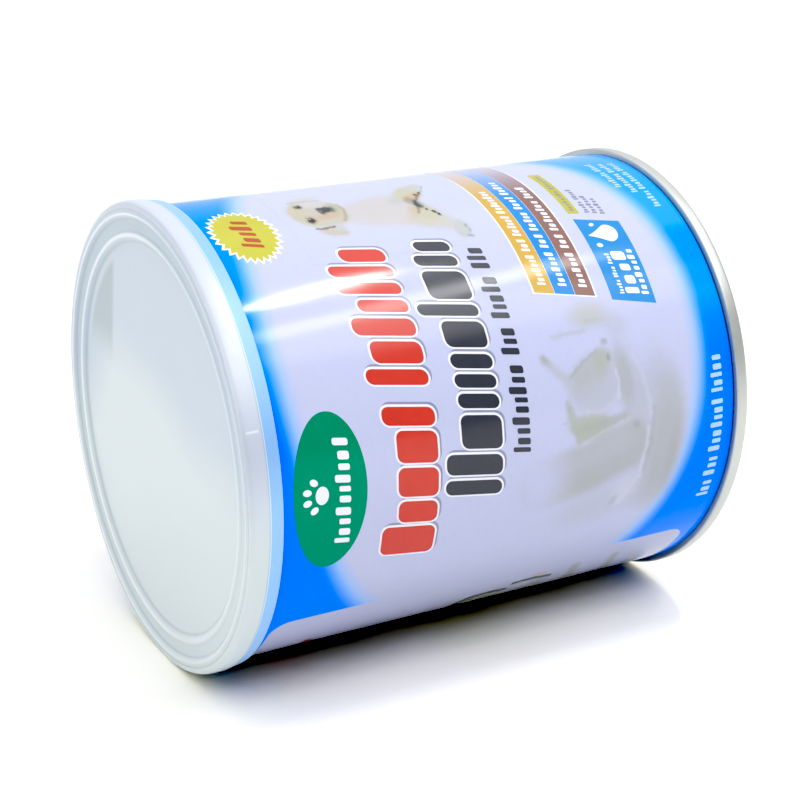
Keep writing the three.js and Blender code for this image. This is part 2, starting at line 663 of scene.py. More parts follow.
@dataclass
class PrintShop:
    """Makes each printed finish once.

    Attributes:
        tin: The tin's frame.
        varnish: The varnish over the wall and the pictures.
        ink_coat: The less glossy coat of the solid inks.
        fade_mm: Where fading inks start and end turning into the field, round the wall.
        made: The inks made so far.
    """

    tin: TinFrame
    varnish: Varnish = Varnish()
    ink_coat: Varnish = Varnish(ior=1.45, roughness=0.14)
    fade_mm: tuple[float, float] = (58.0, 92.0)
    made: dict[tuple[Ink, bool], bpy.types.Material] = field(default_factory=dict)

    def ink(self, ink: Ink, fading: bool = False) -> bpy.types.Material:
        """Makes an ink, or finds it if it was made before.

        Args:
            ink: The ink.
            fading: True if it turns into the field under it at its far end.

        Returns:
            The material.
        """
        if (ink, fading) not in self.made:
            name = f"ink_{ink.name.lower()}" + ("_fading" if fading else "")
            paint = Paint(name, IOR=self.ink_coat.ior)
            pale = tuple(0.92 * part for part in ink.value)
            colour = paint.mix(paint.noise(220.0), ink.value, pale)
            if fading:
                around = paint.turned_place(self.tin).turn * self.tin.wall_radius
                under = WallPrint(self.tin).colour(paint)
                colour = paint.mix(around.step(*self.fade_mm), colour, under)
            self.made[ink, fading] = self.ink_coat.over(paint, colour)
        return self.made[ink, fading]

    def wall(self) -> bpy.types.Material:
        """The wall's colour fields."""
        paint = Paint("wall_print", IOR=self.varnish.ior)
        return self.varnish.over(paint, WallPrint(self.tin).colour(paint))

    def picture(self, name: str) -> bpy.types.Material:
        """Soft picture over the wall's colour fields.

        Args:
            name: Name of the material.

        Returns:
            The material, which reads the picture's colour attribute.
        """
        paint = Paint(name, IOR=self.varnish.ior)
        settings = {"attribute_name": SoftPicture.ATTRIBUTE}
        colour = paint.node("ShaderNodeAttribute", settings, {}, "Color")
        cover = Signal(paint, colour.socket.node.outputs["Alpha"])
        under = WallPrint(self.tin).colour(paint)
        return self.varnish.over(paint, paint.mix(cover, under, colour))


@dataclass(frozen=True)
class CapPlastic:
    """Milky polyethylene of the cap, with blue print shining through its skirt, and painted light
    and shade: the lower face lighter, painted highlights on its ridges, and painted shade in its
    grooves, on its ledge, rim and skirt, and in a crescent at the back of the panel.

    Attributes:
        tin: The tin's frame.
        lit_face: Its colour low on the face, lighter as painted light.
        shaded_face: Its colour high on the face, darker as painted shade.
        painted_highlight: Painted highlight: the pale colour laid on the ridges, the skirt's step and
            the moulding mark.
        painted_shade: Painted shade: the grey laid in the grooves, at the skirt's step and in the
            crescent at the back of the panel.
        ledge_shade: Painted shade on the sunk ledge, deeper towards the top and back.
        skirt_blue: Colour of the skirt over the blue print.
        rim: Colour of the thick rim, laid on its upper side in place of the painted shade.
        rim_shade: Painted shade: the colour that darkens the rim and skirt around the front and high
            up.
        tick_turn: Angle of the moulding mark on the rim, in radians.
        ridges_mm: Radius and half-width of each ridge.
        grooves_mm: Radius and half-width of each groove.
        face_mm: Depths where the face ends and the side starts.
        ledge_mm: Radii where the sunk ledge starts and is full, and where it fades and ends.
        rim_mm: Radii where the rounded rim starts and is full.
        side_mm: Radii where the side starts and is full.
        skirt_mm: Depth where the skirt gets thin.
    """

    tin: TinFrame
    lit_face: Colour = linear(205, 215, 219)
    shaded_face: Colour = linear(190, 202, 216)
    painted_highlight: Colour = linear(246, 250, 252)
    painted_shade: Colour = linear(168, 182, 190)
    ledge_shade: Colour = linear(176, 192, 202)
    skirt_blue: Colour = linear(146, 194, 247)
    rim: Colour = linear(206, 213, 226)
    rim_shade: Colour = linear(60, 90, 125)
    tick_turn: float = 0.336
    ridges_mm: tuple[tuple[float, float], ...] = ((48.35, 0.5), (43.9, 0.8))
    grooves_mm: tuple[tuple[float, float], ...] = ((49.4, 0.35), (47.35, 0.5), (42.5, 0.6))
    face_mm: tuple[float, float] = (2.0, 2.4)
    ledge_mm: tuple[float, float, float, float] = (44.2, 45.0, 46.8, 47.6)
    rim_mm: tuple[float, float] = (49.2, 50.2)
    side_mm: tuple[float, float] = (50.2, 50.5)
    skirt_mm: float = 4.05

    def material(self) -> bpy.types.Material:
        """Makes the plastic, with its painted light and shade.

        Returns:
            The material.
        """
        paint = Paint("cap_plastic", IOR=1.5)
        at = paint.turned_place(self.tin)
        cloud = paint.noise(26.0, 2.0)
        # Painted shade: the face is darker high up than low down; the edge of that shade lies lower at
        # the front and at the back, and is made uneven by noise.
        ends = at.front.step(-10.0, 30.0) * 10.0 + at.front.step(-24.0, -40.0) * 14.0
        height = (at.above + ends + (cloud - 0.5) * 14.0).step(4.0, 23.0)
        colour = self._face(paint, at, paint.mix(height, self.lit_face, self.shaded_face))
        # The upper side of the rounded rim takes the rim's colour in place of the painted shade.
        colour = paint.mix(at.radius.step(*self.rim_mm) * height, colour, self.rim)
        colour = self._side(paint, at, cloud, colour)
        rough = paint.noise(300.0) * 0.06 + 0.29
        return paint.feed(Base_Color=colour, Roughness=rough, Normal=paint.bump(cloud, 0.00003))

    def _face(self, paint: Paint, at: TurnedPlace, colour: Signal) -> Signal:
        """Paints shade on the sunk ledge, painted shade in the grooves and painted highlights on the
        ridges, and a painted shade crescent at the back of the panel.

        Args:
            paint: The paint to add to.
            at: The place on the cap.
            colour: The plain colour.

        Returns:
            The marked colour.
        """
        outer = at.down.step(*self.face_mm[::-1])
        start, full, fade, end = self.ledge_mm
        ledge = at.radius.step(start, full) * at.radius.step(end, fade) * outer
        # Painted shade on the sunk ledge, deeper towards the top and back.
        back = (at.above - at.front * 0.8).step(-20.0, 50.0)
        colour = paint.mix(ledge * (back * 0.5 + 0.12), colour, self.ledge_shade)
        # Painted shade in the grooves.
        for radius, half in self.grooves_mm:
            colour = paint.mix(at.radius.line(radius, half) * outer * 0.6, colour, self.painted_shade)
        # Painted highlights on the ridges, stronger towards the back of the cap.
        clear = at.front.step(-10.0, 15.0) * -0.3 + 0.55
        for radius, half in self.ridges_mm:
            colour = paint.mix(at.radius.line(radius, half) * outer * clear, colour, self.painted_highlight)
        # Painted shade: a dark crescent at the back of the panel.
        shade = (at.above * 0.17 - at.front).step(25.6, 28.4) * at.above.step(8.0, 20.0)
        return paint.mix(shade * at.radius.step(41.4, 39.8) * 0.95, colour, self.painted_shade)

    def _side(self, paint: Paint, at: TurnedPlace, cloud: Signal, colour: Signal) -> Signal:
        """Lets the print shine through the skirt, and paints light and shade on it: painted shade and
        highlight lines at its step, painted shade on the rim around the front and high up, and the
        moulding mark drawn as a thin pale highlight.

        Args:
            paint: The paint to add to.
            at: The place on the cap.
            cloud: Noise that makes the blue uneven.
            colour: The colour so far.

        Returns:
            The marked colour.
        """
        side = at.radius.step(*self.side_mm)
        band = at.down.step(self.skirt_mm - 0.05, self.skirt_mm + 0.1) * side
        colour = paint.mix(band * (cloud * 0.3 + 0.75), colour, self.skirt_blue)
        # Painted shade and highlight at the skirt's step: a grey line just before it and a pale line
        # just after it, down the tin.
        for offset, half, tone in ((-0.08, 0.16, self.painted_shade), (0.22, 0.2, self.painted_highlight)):
            line = at.down.line(self.skirt_mm + offset, half)
            colour = paint.mix(line * side * 0.7, colour, tone)
        # Painted shade on the rim and skirt, around the front and high up.
        rim_shade_share = at.turn.line(0.26, 0.3) + at.above.step(36.0, 49.0) * 0.6
        colour = paint.mix(rim_shade_share * at.radius.step(49.0, 50.4) * 0.22, colour, self.rim_shade)
        # The moulding mark on the rim, drawn as a thin line in the painted highlight colour.
        tick = at.turn.line(self.tick_turn, 0.009) * at.down.step(0.6, 1.0) * at.down.step(3.6, 3.2)
        return paint.mix(tick * side * 0.4, colour, self.painted_highlight)


@dataclass(frozen=True)
class Tinplate:
    """Bright rolled tinplate of the ends.

    Attributes:
        colour: Colour of the bare metal.
    """

    colour: Colour = linear(202, 206, 204)

    def material(self) -> bpy.types.Material:
        """Makes the tinplate.

        Returns:
            The material.
        """
        paint = Paint("tinplate", Metallic=0.6)
        stain = paint.noise(120.0, 3.0)
        colour = paint.mix(stain, self.colour, tuple(0.9 * c for c in self.colour))
        rough = paint.noise(500.0) * 0.12 + 0.3
        return paint.feed(Base_Color=colour, Roughness=rough, Normal=paint.bump(stain, 0.00001))


def keep(piece: bpy.types.Object, material: bpy.types.Material) -> bpy.types.Object:
    """Dresses a finished piece and lets it ride on the tin.

    Args:
        piece: The piece.
        material: Its finish.

    Returns:
        The piece.
    """
    piece.data.materials.append(material)
    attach(piece, BODY)
    LOG.info("%s: %d faces", piece.name, len(piece.data.polygons))
    return piece


@dataclass
class Overcap:
    """Plastic cap: a raised lip, a sunk ledge and panel, a rounded rim, and a skirt over the seam.

    All sizes are in millimetres, and depths are below the cap's outermost face.

    Attributes:
        radius: Radius of the side.
        end_radius: Radius at the skirt's end.
        hook_radius: Radius of the hook under the seam.
        inner_radius: Radius inside the skirt.
        depth: Depth of the skirt's end.
        wall: Thickness of the plastic.
        rim: Rounding of the rim.
        face: Depth of the rim's face.
        lip_radius: Radius of the raised lip.
        ledge: Depth of the ledge.
        bead_radius: Radius of the bead inside the ledge.
        bead_rise: Its height above the ledge.
        panel_radius: Radius of the middle panel.
        panel: Depth of the middle panel.
        skirt_step: Depth of the step in the side.
        skirt_line: Width of that step.
        hook: Depths where the hook starts and ends.
    """

    radius: float = 51.1
    end_radius: float = 50.6
    hook_radius: float = 49.8
    inner_radius: float = 50.5
    depth: float = 7.2
    wall: float = 0.8
    rim: float = 1.8
    face: float = 0.2
    lip_radius: float = 48.4
    ledge: float = 0.85
    bead_radius: float = 44.0
    bead_rise: float = 0.3
    panel_radius: float = 42.2
    panel: float = 1.5
    skirt_step: float = 4.1
    skirt_line: float = 0.14
    hook: tuple[float, float] = (4.6, 4.9)

    def profile(self) -> np.ndarray:
        """Profile of the shell, from the middle of its outer face round to that of its inner face.

        Returns:
            Radius and depth of each point.
        """
        inside = self.face + self.wall
        bead = self.ledge - self.bead_rise
        return softened(
            [
                (0.0, self.panel, 0.0),
                (self.panel_radius, self.panel, 0.5),
                (self.bead_radius - 0.5, bead, 0.3),
                (self.bead_radius + 0.3, bead, 0.3),
                (self.bead_radius + 0.9, self.ledge, 0.3),
                (self.lip_radius - 1.2, self.ledge, 0.4),
                (self.lip_radius - 0.3, 0.0, 0.2),
                (self.lip_radius + 0.3, 0.0, 0.25),
                (self.lip_radius + 0.6, self.face, 0.2),
                (self.radius, self.face, self.rim),
                (self.radius, self.skirt_step, 0.1),
                (self.radius - self.skirt_line, self.skirt_step + 0.15, 0.1),
                (self.end_radius, self.depth, 0.25),
                (self.hook_radius, self.depth, 0.15),
                (self.hook_radius, self.hook[1], 0.2),
                (self.inner_radius, self.hook[0], 0.2),
                (self.inner_radius, inside, 0.8),
                (self.lip_radius - 0.4, inside, 0.3),
                (self.lip_radius - 1.4, self.ledge + self.wall, 0.3),
                (self.bead_radius, self.ledge + self.wall, 0.3),
                (self.panel_radius, self.panel + self.wall, 0.4),
                (0.0, self.panel + self.wall, 0.0),
            ]
        )

    def build(self, tin: TinFrame) -> bpy.types.Object:
        """Builds and dresses the cap.

        Args:
            tin: The tin's frame.

        Returns:
            The piece, which stands for the solid cap.
        """
        piece = keep(turned("overcap", tin, self.profile()), CapPlastic(tin).material())
        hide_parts("lid")
        return piece


class EndSide(Enum):
    """The two seamed ends: node, seam radius and whether its panel has pressed rings."""

    TOP = ("top_end", 50.2, False)
    BOTTOM = ("bottom_end", 50.8, True)


@dataclass
class SeamedEnd:
    """Steel end: a sunk panel, the wall round it and the rolled seam, with sizes in millimetres.

    Attributes:
        side: Which end it is.
        top_crest: Depth of the top seam's crest below the face of the cap.
        seam: Height of the seam.
        crest: Rounding of its crest.
        sheet: Thickness of the steel.
        chuck_radius: Radius of the wall round the panel.
        sink: Depth of the panel below the crest.
        ring_radius: Outer radius of the panel's step.
        ring_width: Its width.
        ring_rise: Its height.
    """

    side: EndSide
    top_crest: float = 1.3
    seam: float = 3.0
    crest: float = 0.9
    sheet: float = 0.5
    chuck_radius: float = 48.2
    sink: float = 4.0
    ring_radius: float = 41.0
    ring_width: float = 5.0
    ring_rise: float = 0.9

    def _panel(self, depth: float) -> list[tuple[float, float, float]]:
        """Corners of the panel at a depth, from its middle out."""
        if not self.side.value[2]:
            return [(0.0, depth, 0.0)]
        inner = self.ring_radius - self.ring_width
        return [
            (0.0, depth - self.ring_rise, 0.0),
            (inner, depth - self.ring_rise, 0.5),
            (inner + 1.0, depth, 0.5),
            (self.ring_radius, depth, 0.5),
            (self.ring_radius + 1.0, depth - self.ring_rise / 2, 0.5),
            (self.ring_radius + 4.0, depth - self.ring_rise / 2, 0.5),
            (self.ring_radius + 5.0, depth, 0.4),
        ]

    def profile(self) -> np.ndarray:
        """Profile of the end, by depth below its seam's crest.

        Returns:
            Radius and depth of each point.
        """
        seam_radius = self.side.value[1]
        return softened(
            [
                *self._panel(self.sink),
                (self.chuck_radius - 0.6, self.sink, 0.4),
                (self.chuck_radius, 0.0, self.crest),
                (seam_radius, 0.0, self.crest),
                (seam_radius, self.seam, 0.6),
                (self.chuck_radius + self.sheet, self.seam, 0.0),
                (self.chuck_radius, self.sink + self.sheet, 0.2),
                *self._panel(self.sink + self.sheet)[::-1],
            ]
        )

    def build(self, tin: TinFrame) -> bpy.types.Object:
        """Builds and dresses the end.

        Args:
            tin: The tin's frame.

        Returns:
            The piece, which stands for the solid end.
        """
        profile = self.profile()
        if self.side is EndSide.TOP:
            profile[:, 1] += self.top_crest
        else:
            profile[:, 1] = tin.length - profile[:, 1]
        name = f"steel_{self.side.name.lower()}"
        piece = keep(turned(name, tin, profile), Tinplate().material())
        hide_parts(self.side.value[0])
        return piece


@dataclass
class PrintedWall:
    """The printed wall with its filling, closed under both ends, with sizes in millimetres.

    Attributes:
        seat_radius: Radius of the seats of the ends' panels.
        top_rim: Depth of the wall's start below the face of the cap.
        bottom_rim: Distance of the wall's end from the bottom crest.
        top_seat: Depth of the top seat.
        bottom_seat: Distance of the bottom seat from the bottom crest.
        rows: Points down the wall.
    """

    seat_radius: float = 49.0
    top_rim: float = 4.6
    bottom_rim: float = 3.3
    top_seat: float = 6.1
    bottom_seat: float = 4.8
    rows: int = 40

    def build(self, shop: PrintShop) -> bpy.types.Object:
        """Builds and dresses the wall.

        Args:
            shop: The print shop.

        Returns:
            The piece, which stands for the solid wall.
        """
        tin = shop.tin
        down = np.linspace(self.top_rim, tin.length - self.bottom_rim, self.rows)
        wall = np.stack([np.full(self.rows, tin.wall_radius), down], axis=-1)
        radius, seat = self.seat_radius, tin.length - self.bottom_seat
        start = [(0.0, self.top_seat), (radius, self.top_seat), (radius, self.top_rim)]
        end = [(radius, tin.length - self.bottom_rim), (radius, seat), (0.0, seat)]
        piece = turned("printed_wall", tin, np.vstack([start, wall, end]))
        keep(piece, shop.wall())
        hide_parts("body")
        return piece


Patch = tuple[np.ndarray, np.ndarray]


def wrapped(name: str, tin: TinFrame, lift: float, patches: Sequence[Patch]) -> bpy.types.Object:
    """Wraps flat patches round the wall as thin closed sheets.

    Each patch is a grid of places round the wall and down the tin. Its face lies a lift above the
    wall, its back a little below the wall, and a band of faces joins their rims.

    Args:
        name: Name of the piece.
        tin: The tin's frame.
        lift: Height of the faces above the wall, in millimetres.
        patches: The patches, in millimetres.

    Returns:
        The piece.
    """
    sink = 0.05
    points, faces, used = [], [], 0
    for around, down in patches:
        rows, columns = around.shape
        count = rows * columns
        turn = around / tin.wall_radius
        points.append(tin.place(np.array(tin.wall_radius + lift), down, turn))
        points.append(tin.place(np.array(tin.wall_radius - sink), down, turn))
        face = grid_faces(rows, columns)
        number = np.arange(count).reshape(rows, columns)
        rim = np.concatenate([number[:-1, 0], number[-1, :-1], number[:0:-1, -1], number[0, :0:-1]])
        after = np.roll(rim, -1)
        side = np.stack([rim, rim + count, after + count, after], axis=-1)
        faces.append(np.vstack([face, face[:, ::-1] + count, side]) + used)
        used += 2 * count
    return solid_piece(name, np.vstack(points), np.vstack(faces))


@dataclass
class InkLayer:
    """Patches of one ink at one height, which make one piece.

    Attributes:
        name: Name of the piece.
        ink: The ink.
        level: Number of layers of ink under it.
        fading: True if the ink turns into the field at its far end.
        patches: The patches.
    """

    name: str
    ink: Ink
    level: int = 0
    fading: bool = False
    patches: list[Patch] = field(default_factory=list)

    CELL = 1.2
    SMALL_CORNER = 0.5
    LOWEST = 0.022
    LAYER = 0.014

    @classmethod
    def _lines(cls, half: float, corner: float) -> np.ndarray:
        """Grid lines from -half to half, denser at large corners, in millimetres."""
        inner = half - corner
        middle = np.linspace(-inner, inner, max(int(math.ceil(2 * inner / cls.CELL)), 1) + 1)
        edge = corner * np.array([0.5, 1.0] if corner < cls.SMALL_CORNER else [0.3, 0.65, 1.0])
        return np.concatenate([(-inner - edge)[::-1], middle, inner + edge])

    def bar(
        self,
        low: tuple[float, float],
        high: tuple[float, float],
        corner: float = 0.3,
        slant: float = 0.0,
    ) -> None:
        """Adds a bar with round corners.

        A point in the square of a corner moves along its line from the square's inner corner to
        the distance that its larger coordinate gives, which turns the square into a quarter disc.
        The slant then shifts the bar round the wall by its distance up from its foot.

        Args:
            low: Start of its foot round the wall, and its top edge down the tin.
            high: End of its foot round the wall, and its foot down the tin.
            corner: Corner radius.
            slant: Shift round the wall for each millimetre up from the foot.
        """
        half = ((high[0] - low[0]) / 2, (high[1] - low[1]) / 2)
        corner = min(corner, 0.98 * half[0], 0.98 * half[1])
        u, v = np.meshgrid(self._lines(half[0], corner), self._lines(half[1], corner), indexing="ij")
        in_u = np.clip(u, corner - half[0], half[0] - corner)
        in_v = np.clip(v, corner - half[1], half[1] - corner)
        du, dv = u - in_u, v - in_v
        length = np.hypot(du, dv)
        scale = np.maximum(np.abs(du), np.abs(dv)) / np.where(length > 0, length, 1.0)
        u, v = in_u + du * scale, in_v + dv * scale
        self.patches.append((low[0] + half[0] + u + slant * (half[1] - v), low[1] + half[1] + v))

    def disc(
        self,
        at: tuple[float, float],
        size: tuple[float, float],
        turn: float = 0.0,
        teeth: int = 0,
        bite: float = 0.0,
    ) -> None:
        """Adds an oval, or a burst if it has teeth.

        A square grid becomes a disc: a point keeps its larger coordinate as its radius, and its
        angle runs evenly along the side of its square. Each tooth cuts the rim by a triangle wave,
        which fades towards the middle with the square of the radius.

        Args:
            at: Middle of the patch, round the wall and down the tin.
            size: Its width and height.
            turn: Turn of the patch, in degrees.
            teeth: Points of a burst, a multiple of 4.
            bite: Depth of the cuts between them, as a share of the radius.
        """
        cells = teeth or 2 * max(4, int(math.ceil(max(size) / self.CELL / 2)))
        a, b = np.meshgrid(*[np.linspace(-1.0, 1.0, cells + 1)] * 2, indexing="ij")
        radius = np.maximum(np.abs(a), np.abs(b))
        flat = np.abs(a) >= np.abs(b)
        along = np.divide(b, a, out=np.zeros_like(a), where=flat & (a != 0))
        across = np.divide(a, b, out=np.zeros_like(a), where=~flat)
        angle = np.where(flat, along, 2.0 - across) * (math.pi / 4)
        angle += np.where((flat & (a < 0)) | (~flat & (b < 0)), math.pi, 0.0)
        if teeth:
            wave = np.abs(2.0 * ((angle / (2 * math.pi) * teeth) % 1.0) - 1.0)
            radius = radius * (1.0 - bite * (1.0 - wave) * radius**2)
        u, v = radius * np.cos(angle) * size[0] / 2, radius * np.sin(angle) * size[1] / 2
        c, s = math.cos(math.radians(turn)), math.sin(math.radians(turn))
        self.patches.append((at[0] + u * c - v * s, at[1] + u * s + v * c))

    def build(self, shop: PrintShop) -> bpy.types.Object:
        """Prints the layer.

        Args:
            shop: The print shop.

        Returns:
            The piece.
        """
        piece = wrapped(self.name, shop.tin, self.LOWEST + self.level * self.LAYER, self.patches)
        return keep(piece, shop.ink(self.ink, self.fading))


class PrintGroup(ABC):
    """A part of the print, made of layers of ink."""

    @abstractmethod
    def layers(self) -> Sequence[InkLayer]:
        """Lays the patches of its layers."""

    def build(self, shop: PrintShop) -> None:
        """Prints its layers."""
        for layer in self.layers():
            layer.build(shop)


@dataclass(frozen=True)
class PrintLine:
    """A line of small print, shown as plain blocks.

    Attributes:
        start: Where it starts round the wall.
        end: Where it ends.
        foot: Its foot, down the tin.
        height: Height of a tall block.
        words: Blocks in each word.
        weight: Share of its pitch that a block covers.
    """

    start: float
    end: float
    foot: float
    height: float
    words: tuple[int, ...]
    weight: float = 0.62

    def lay(self, layer: InkLayer, slant: float = 0.16) -> None:
        """Lays the blocks of the line.

        Widths vary by the golden share of the block's number, and are then scaled to fill the line.
        A word starts with a tall block, and every third block is tall too.

        Args:
            layer: The layer to lay them on.
            slant: Slant of the blocks.
        """
        total = sum(self.words)
        starts = np.cumsum((0, *self.words[:-1]))
        number = np.arange(total)
        width = 0.75 + 0.5 * ((number * 0.618) % 1.0)
        space = np.where(np.isin(number, starts), 0.6, 0.0)
        space[0] = 0.0
        at = np.cumsum(width + space) - width
        scale = (self.end - self.start) / (at[-1] + width[-1])
        tall = np.isin(number, starts) | (number % 3 == 0)
        height = np.where(tall, self.height, 0.74 * self.height)
        for u, w, h in zip(self.start + at * scale, width * scale * self.weight, height):
            layer.bar((u, self.foot - h), (u + w, self.foot), 0.3 * w, slant)


@dataclass
class Headings(PrintGroup):
    """The two big headings and the line under them, as rows of plain rounded blocks.

    Attributes:
        slant: Slant of the blocks.
        outline: Width of the white outline, in millimetres.
        shadow: Shift of the shadow, in millimetres.
        corner: Corner radius of the blocks.
        red_blocks: Start, end and top of each red block.
        red_foot: Foot of the red row, down the tin.
        dark_blocks: Start, end and top of each dark block.
        dark_foot: Foot of the dark row.
    """

    slant: float = 0.16
    outline: float = 0.45
    shadow: float = 0.42
    corner: float = 1.6
    red_blocks: tuple[tuple[float, float, float], ...] = (
        (-17.2, -10.4, 29.8), (-9.4, -4.6, 33.2), (-3.6, 2.6, 33.0), (3.6, 10.2, 33.0),
        (11.2, 15.0, 30.4), (19.4, 22.6, 28.6), (23.8, 28.4, 31.0), (29.6, 33.4, 28.6),
        (34.8, 37.6, 31.4), (39.0, 41.8, 28.4), (43.2, 46.0, 28.4), (47.2, 50.8, 32.4),
    )
    red_foot: float = 42.3
    dark_blocks: tuple[tuple[float, float, float], ...] = (
        (-6.2, -3.0, 44.0), (-1.8, 2.6, 44.2), (3.8, 10.8, 48.0), (12.2, 15.2, 48.0),
        (16.4, 19.2, 48.0), (20.4, 23.4, 48.0), (24.8, 30.4, 48.0), (31.6, 34.2, 44.0),
        (35.4, 42.2, 48.0), (43.6, 46.4, 48.0), (47.6, 50.4, 49.6),
    )
    dark_foot: float = 57.6

    def _row(
        self,
        layers: tuple[InkLayer, InkLayer, InkLayer],
        blocks: Sequence[tuple[float, float, float]],
        foot: float,
    ) -> None:
        """Lays a row of blocks with its outline and shadow.

        Args:
            layers: Layers of the shadow, the outline and the ink.
            blocks: Start, end and top of each block.
            foot: Foot of the row.
        """
        for layer, grow, off in zip(layers, (self.outline, self.outline, 0), (self.shadow, 0, 0)):
            for start, end, top in blocks:
                low = (start - grow + off, top - grow + off)
                high = (end + grow + off, foot + grow + off)
                layer.bar(low, high, self.corner + grow, self.slant)

    def layers(self) -> Sequence[InkLayer]:
        """Lays the headings.

        Returns:
            The layers of ink.
        """
        shadow = InkLayer("heading_shadow", Ink.SHADOW)
        outline = InkLayer("heading_outline", Ink.WHITE, 1)
        red = InkLayer("heading_red", Ink.RED, 2)
        dark = InkLayer("heading_dark", Ink.CHARCOAL, 2)
        self._row((shadow, outline, red), self.red_blocks, self.red_foot)
        self._row((shadow, outline, dark), self.dark_blocks, self.dark_foot)
        PrintLine(1.8, 48.3, 64.4, 4.2, (9, 3, 5, 3)).lay(dark)
        return shadow, outline, red, dark


@dataclass
class Badge(PrintGroup):
    """Green oval that holds a paw print over a line of plain blocks.

    Attributes:
        at: Middle of the oval, round the wall and down the tin.
        size: Its width and height.
        pad: Width and height of the paw's pad.
        toe: Width and height of a toe.
        toes: Place of each toe across and up from the pad's middle, and its turn in degrees.
    """

    at: tuple[float, float] = (1.6, 17.9)
    size: tuple[float, float] = (32.9, 16.2)
    pad: tuple[float, float] = (3.8, 2.9)
    toe: tuple[float, float] = (1.4, 1.9)
    toes: tuple[tuple[float, float, float], ...] = (
        (-2.9, 1.7, -35.0),
        (-1.1, 3.2, -10.0),
        (1.1, 3.2, 10.0),
        (2.9, 1.7, 35.0),
    )

    def layers(self) -> Sequence[InkLayer]:
        """Lays the badge.

        Returns:
            The layers of ink.
        """
        oval = InkLayer("badge_oval", Ink.GREEN)
        oval.disc(self.at, self.size)
        mark = InkLayer("badge_mark", Ink.WHITE, 1)
        u, v = self.at
        mark.disc((u, v - 1.9), self.pad)
        for across, up, turn in self.toes:
            mark.disc((u + across, v - 1.9 - up), self.toe, turn)
        PrintLine(u - 11.5, u + 11.5, v + 4.4, 3.4, (10,)).lay(mark)
        return oval, mark


@dataclass
class Burst(PrintGroup):
    """Yellow burst with a white edge, holding a line of red blocks.

    Attributes:
        at: Its middle, round the wall and down the tin.
        size: Width and height of the yellow.
        edge: Width of the white edge.
        teeth: Points of the burst.
        bite: Depth of the cuts between them, as a share of the radius.
    """

    at: tuple[float, float] = (61.1, 16.0)
    size: tuple[float, float] = (18.6, 13.6)
    edge: float = 0.8
    teeth: int = 28
    bite: float = 0.15

    def layers(self) -> Sequence[InkLayer]:
        """Lays the burst.

        Returns:
            The layers of ink.
        """
        rim = InkLayer("burst_edge", Ink.WHITE)
        wide = (self.size[0] + 2 * self.edge, self.size[1] + 2 * self.edge)
        rim.disc(self.at, wide, teeth=self.teeth, bite=self.bite)
        star = InkLayer("burst", Ink.YELLOW, 1)
        star.disc(self.at, self.size, teeth=self.teeth, bite=self.bite)
        mark = InkLayer("burst_mark", Ink.RUST, 2)
        PrintLine(self.at[0] - 5.4, self.at[0] + 5.4, self.at[1] + 2.2, 4.4, (5,)).lay(mark, 0.3)
        return rim, star, mark


@dataclass
class Stripes(PrintGroup):
    """Three coloured stripes with a line of small print on each, fading out at their far end.

    Attributes:
        start: Left end of the first stripe's top.
        end: Where the stripes end round the wall, after they have faded.
        top: Top of the first stripe down the tin.
        height: Height of a stripe.
        gap: Gap between stripes.
        slant: Slant of the left ends.
        rows: Ink of each stripe, the end of its line of print, and the blocks in its words.
    """

    start: float = 34.8
    end: float = 90.0
    top: float = 72.1
    height: float = 4.7
    gap: float = 0.1
    slant: float = 0.2
    rows: tuple[tuple[Ink, float, tuple[int, ...]], ...] = (
        (Ink.ORANGE, 66.0, (7, 3, 6, 8)),
        (Ink.BLUE, 70.0, (7, 3, 5, 4, 5)),
        (Ink.BROWN, 66.1, (7, 3, 8, 4)),
    )

    def layers(self) -> Sequence[InkLayer]:
        """Lays the stripes.

        Returns:
            The layers of ink.
        """
        edge = InkLayer("stripe_edge", Ink.WHITE, 0, True)
        lines = InkLayer("stripe_print", Ink.WHITE, 2)
        stripes = []
        for i, (ink, end, words) in enumerate(self.rows):
            top = self.top + i * (self.height + self.gap)
            foot = top + self.height
            left = self.start - self.slant * (foot - self.top)
            stripe = InkLayer(f"stripe_{ink.name.lower()}", ink, 1, True)
            stripe.bar((left, top), (self.end, foot), 0.05, self.slant)
            edge.bar((left - 0.4, top - 0.35), (self.end, foot + 0.35), 0.05, self.slant)
            stripes.append(stripe)
            PrintLine(left + 2.2, end, foot - 1.2, 2.0, words).lay(lines, self.slant)
        return *stripes, edge, lines


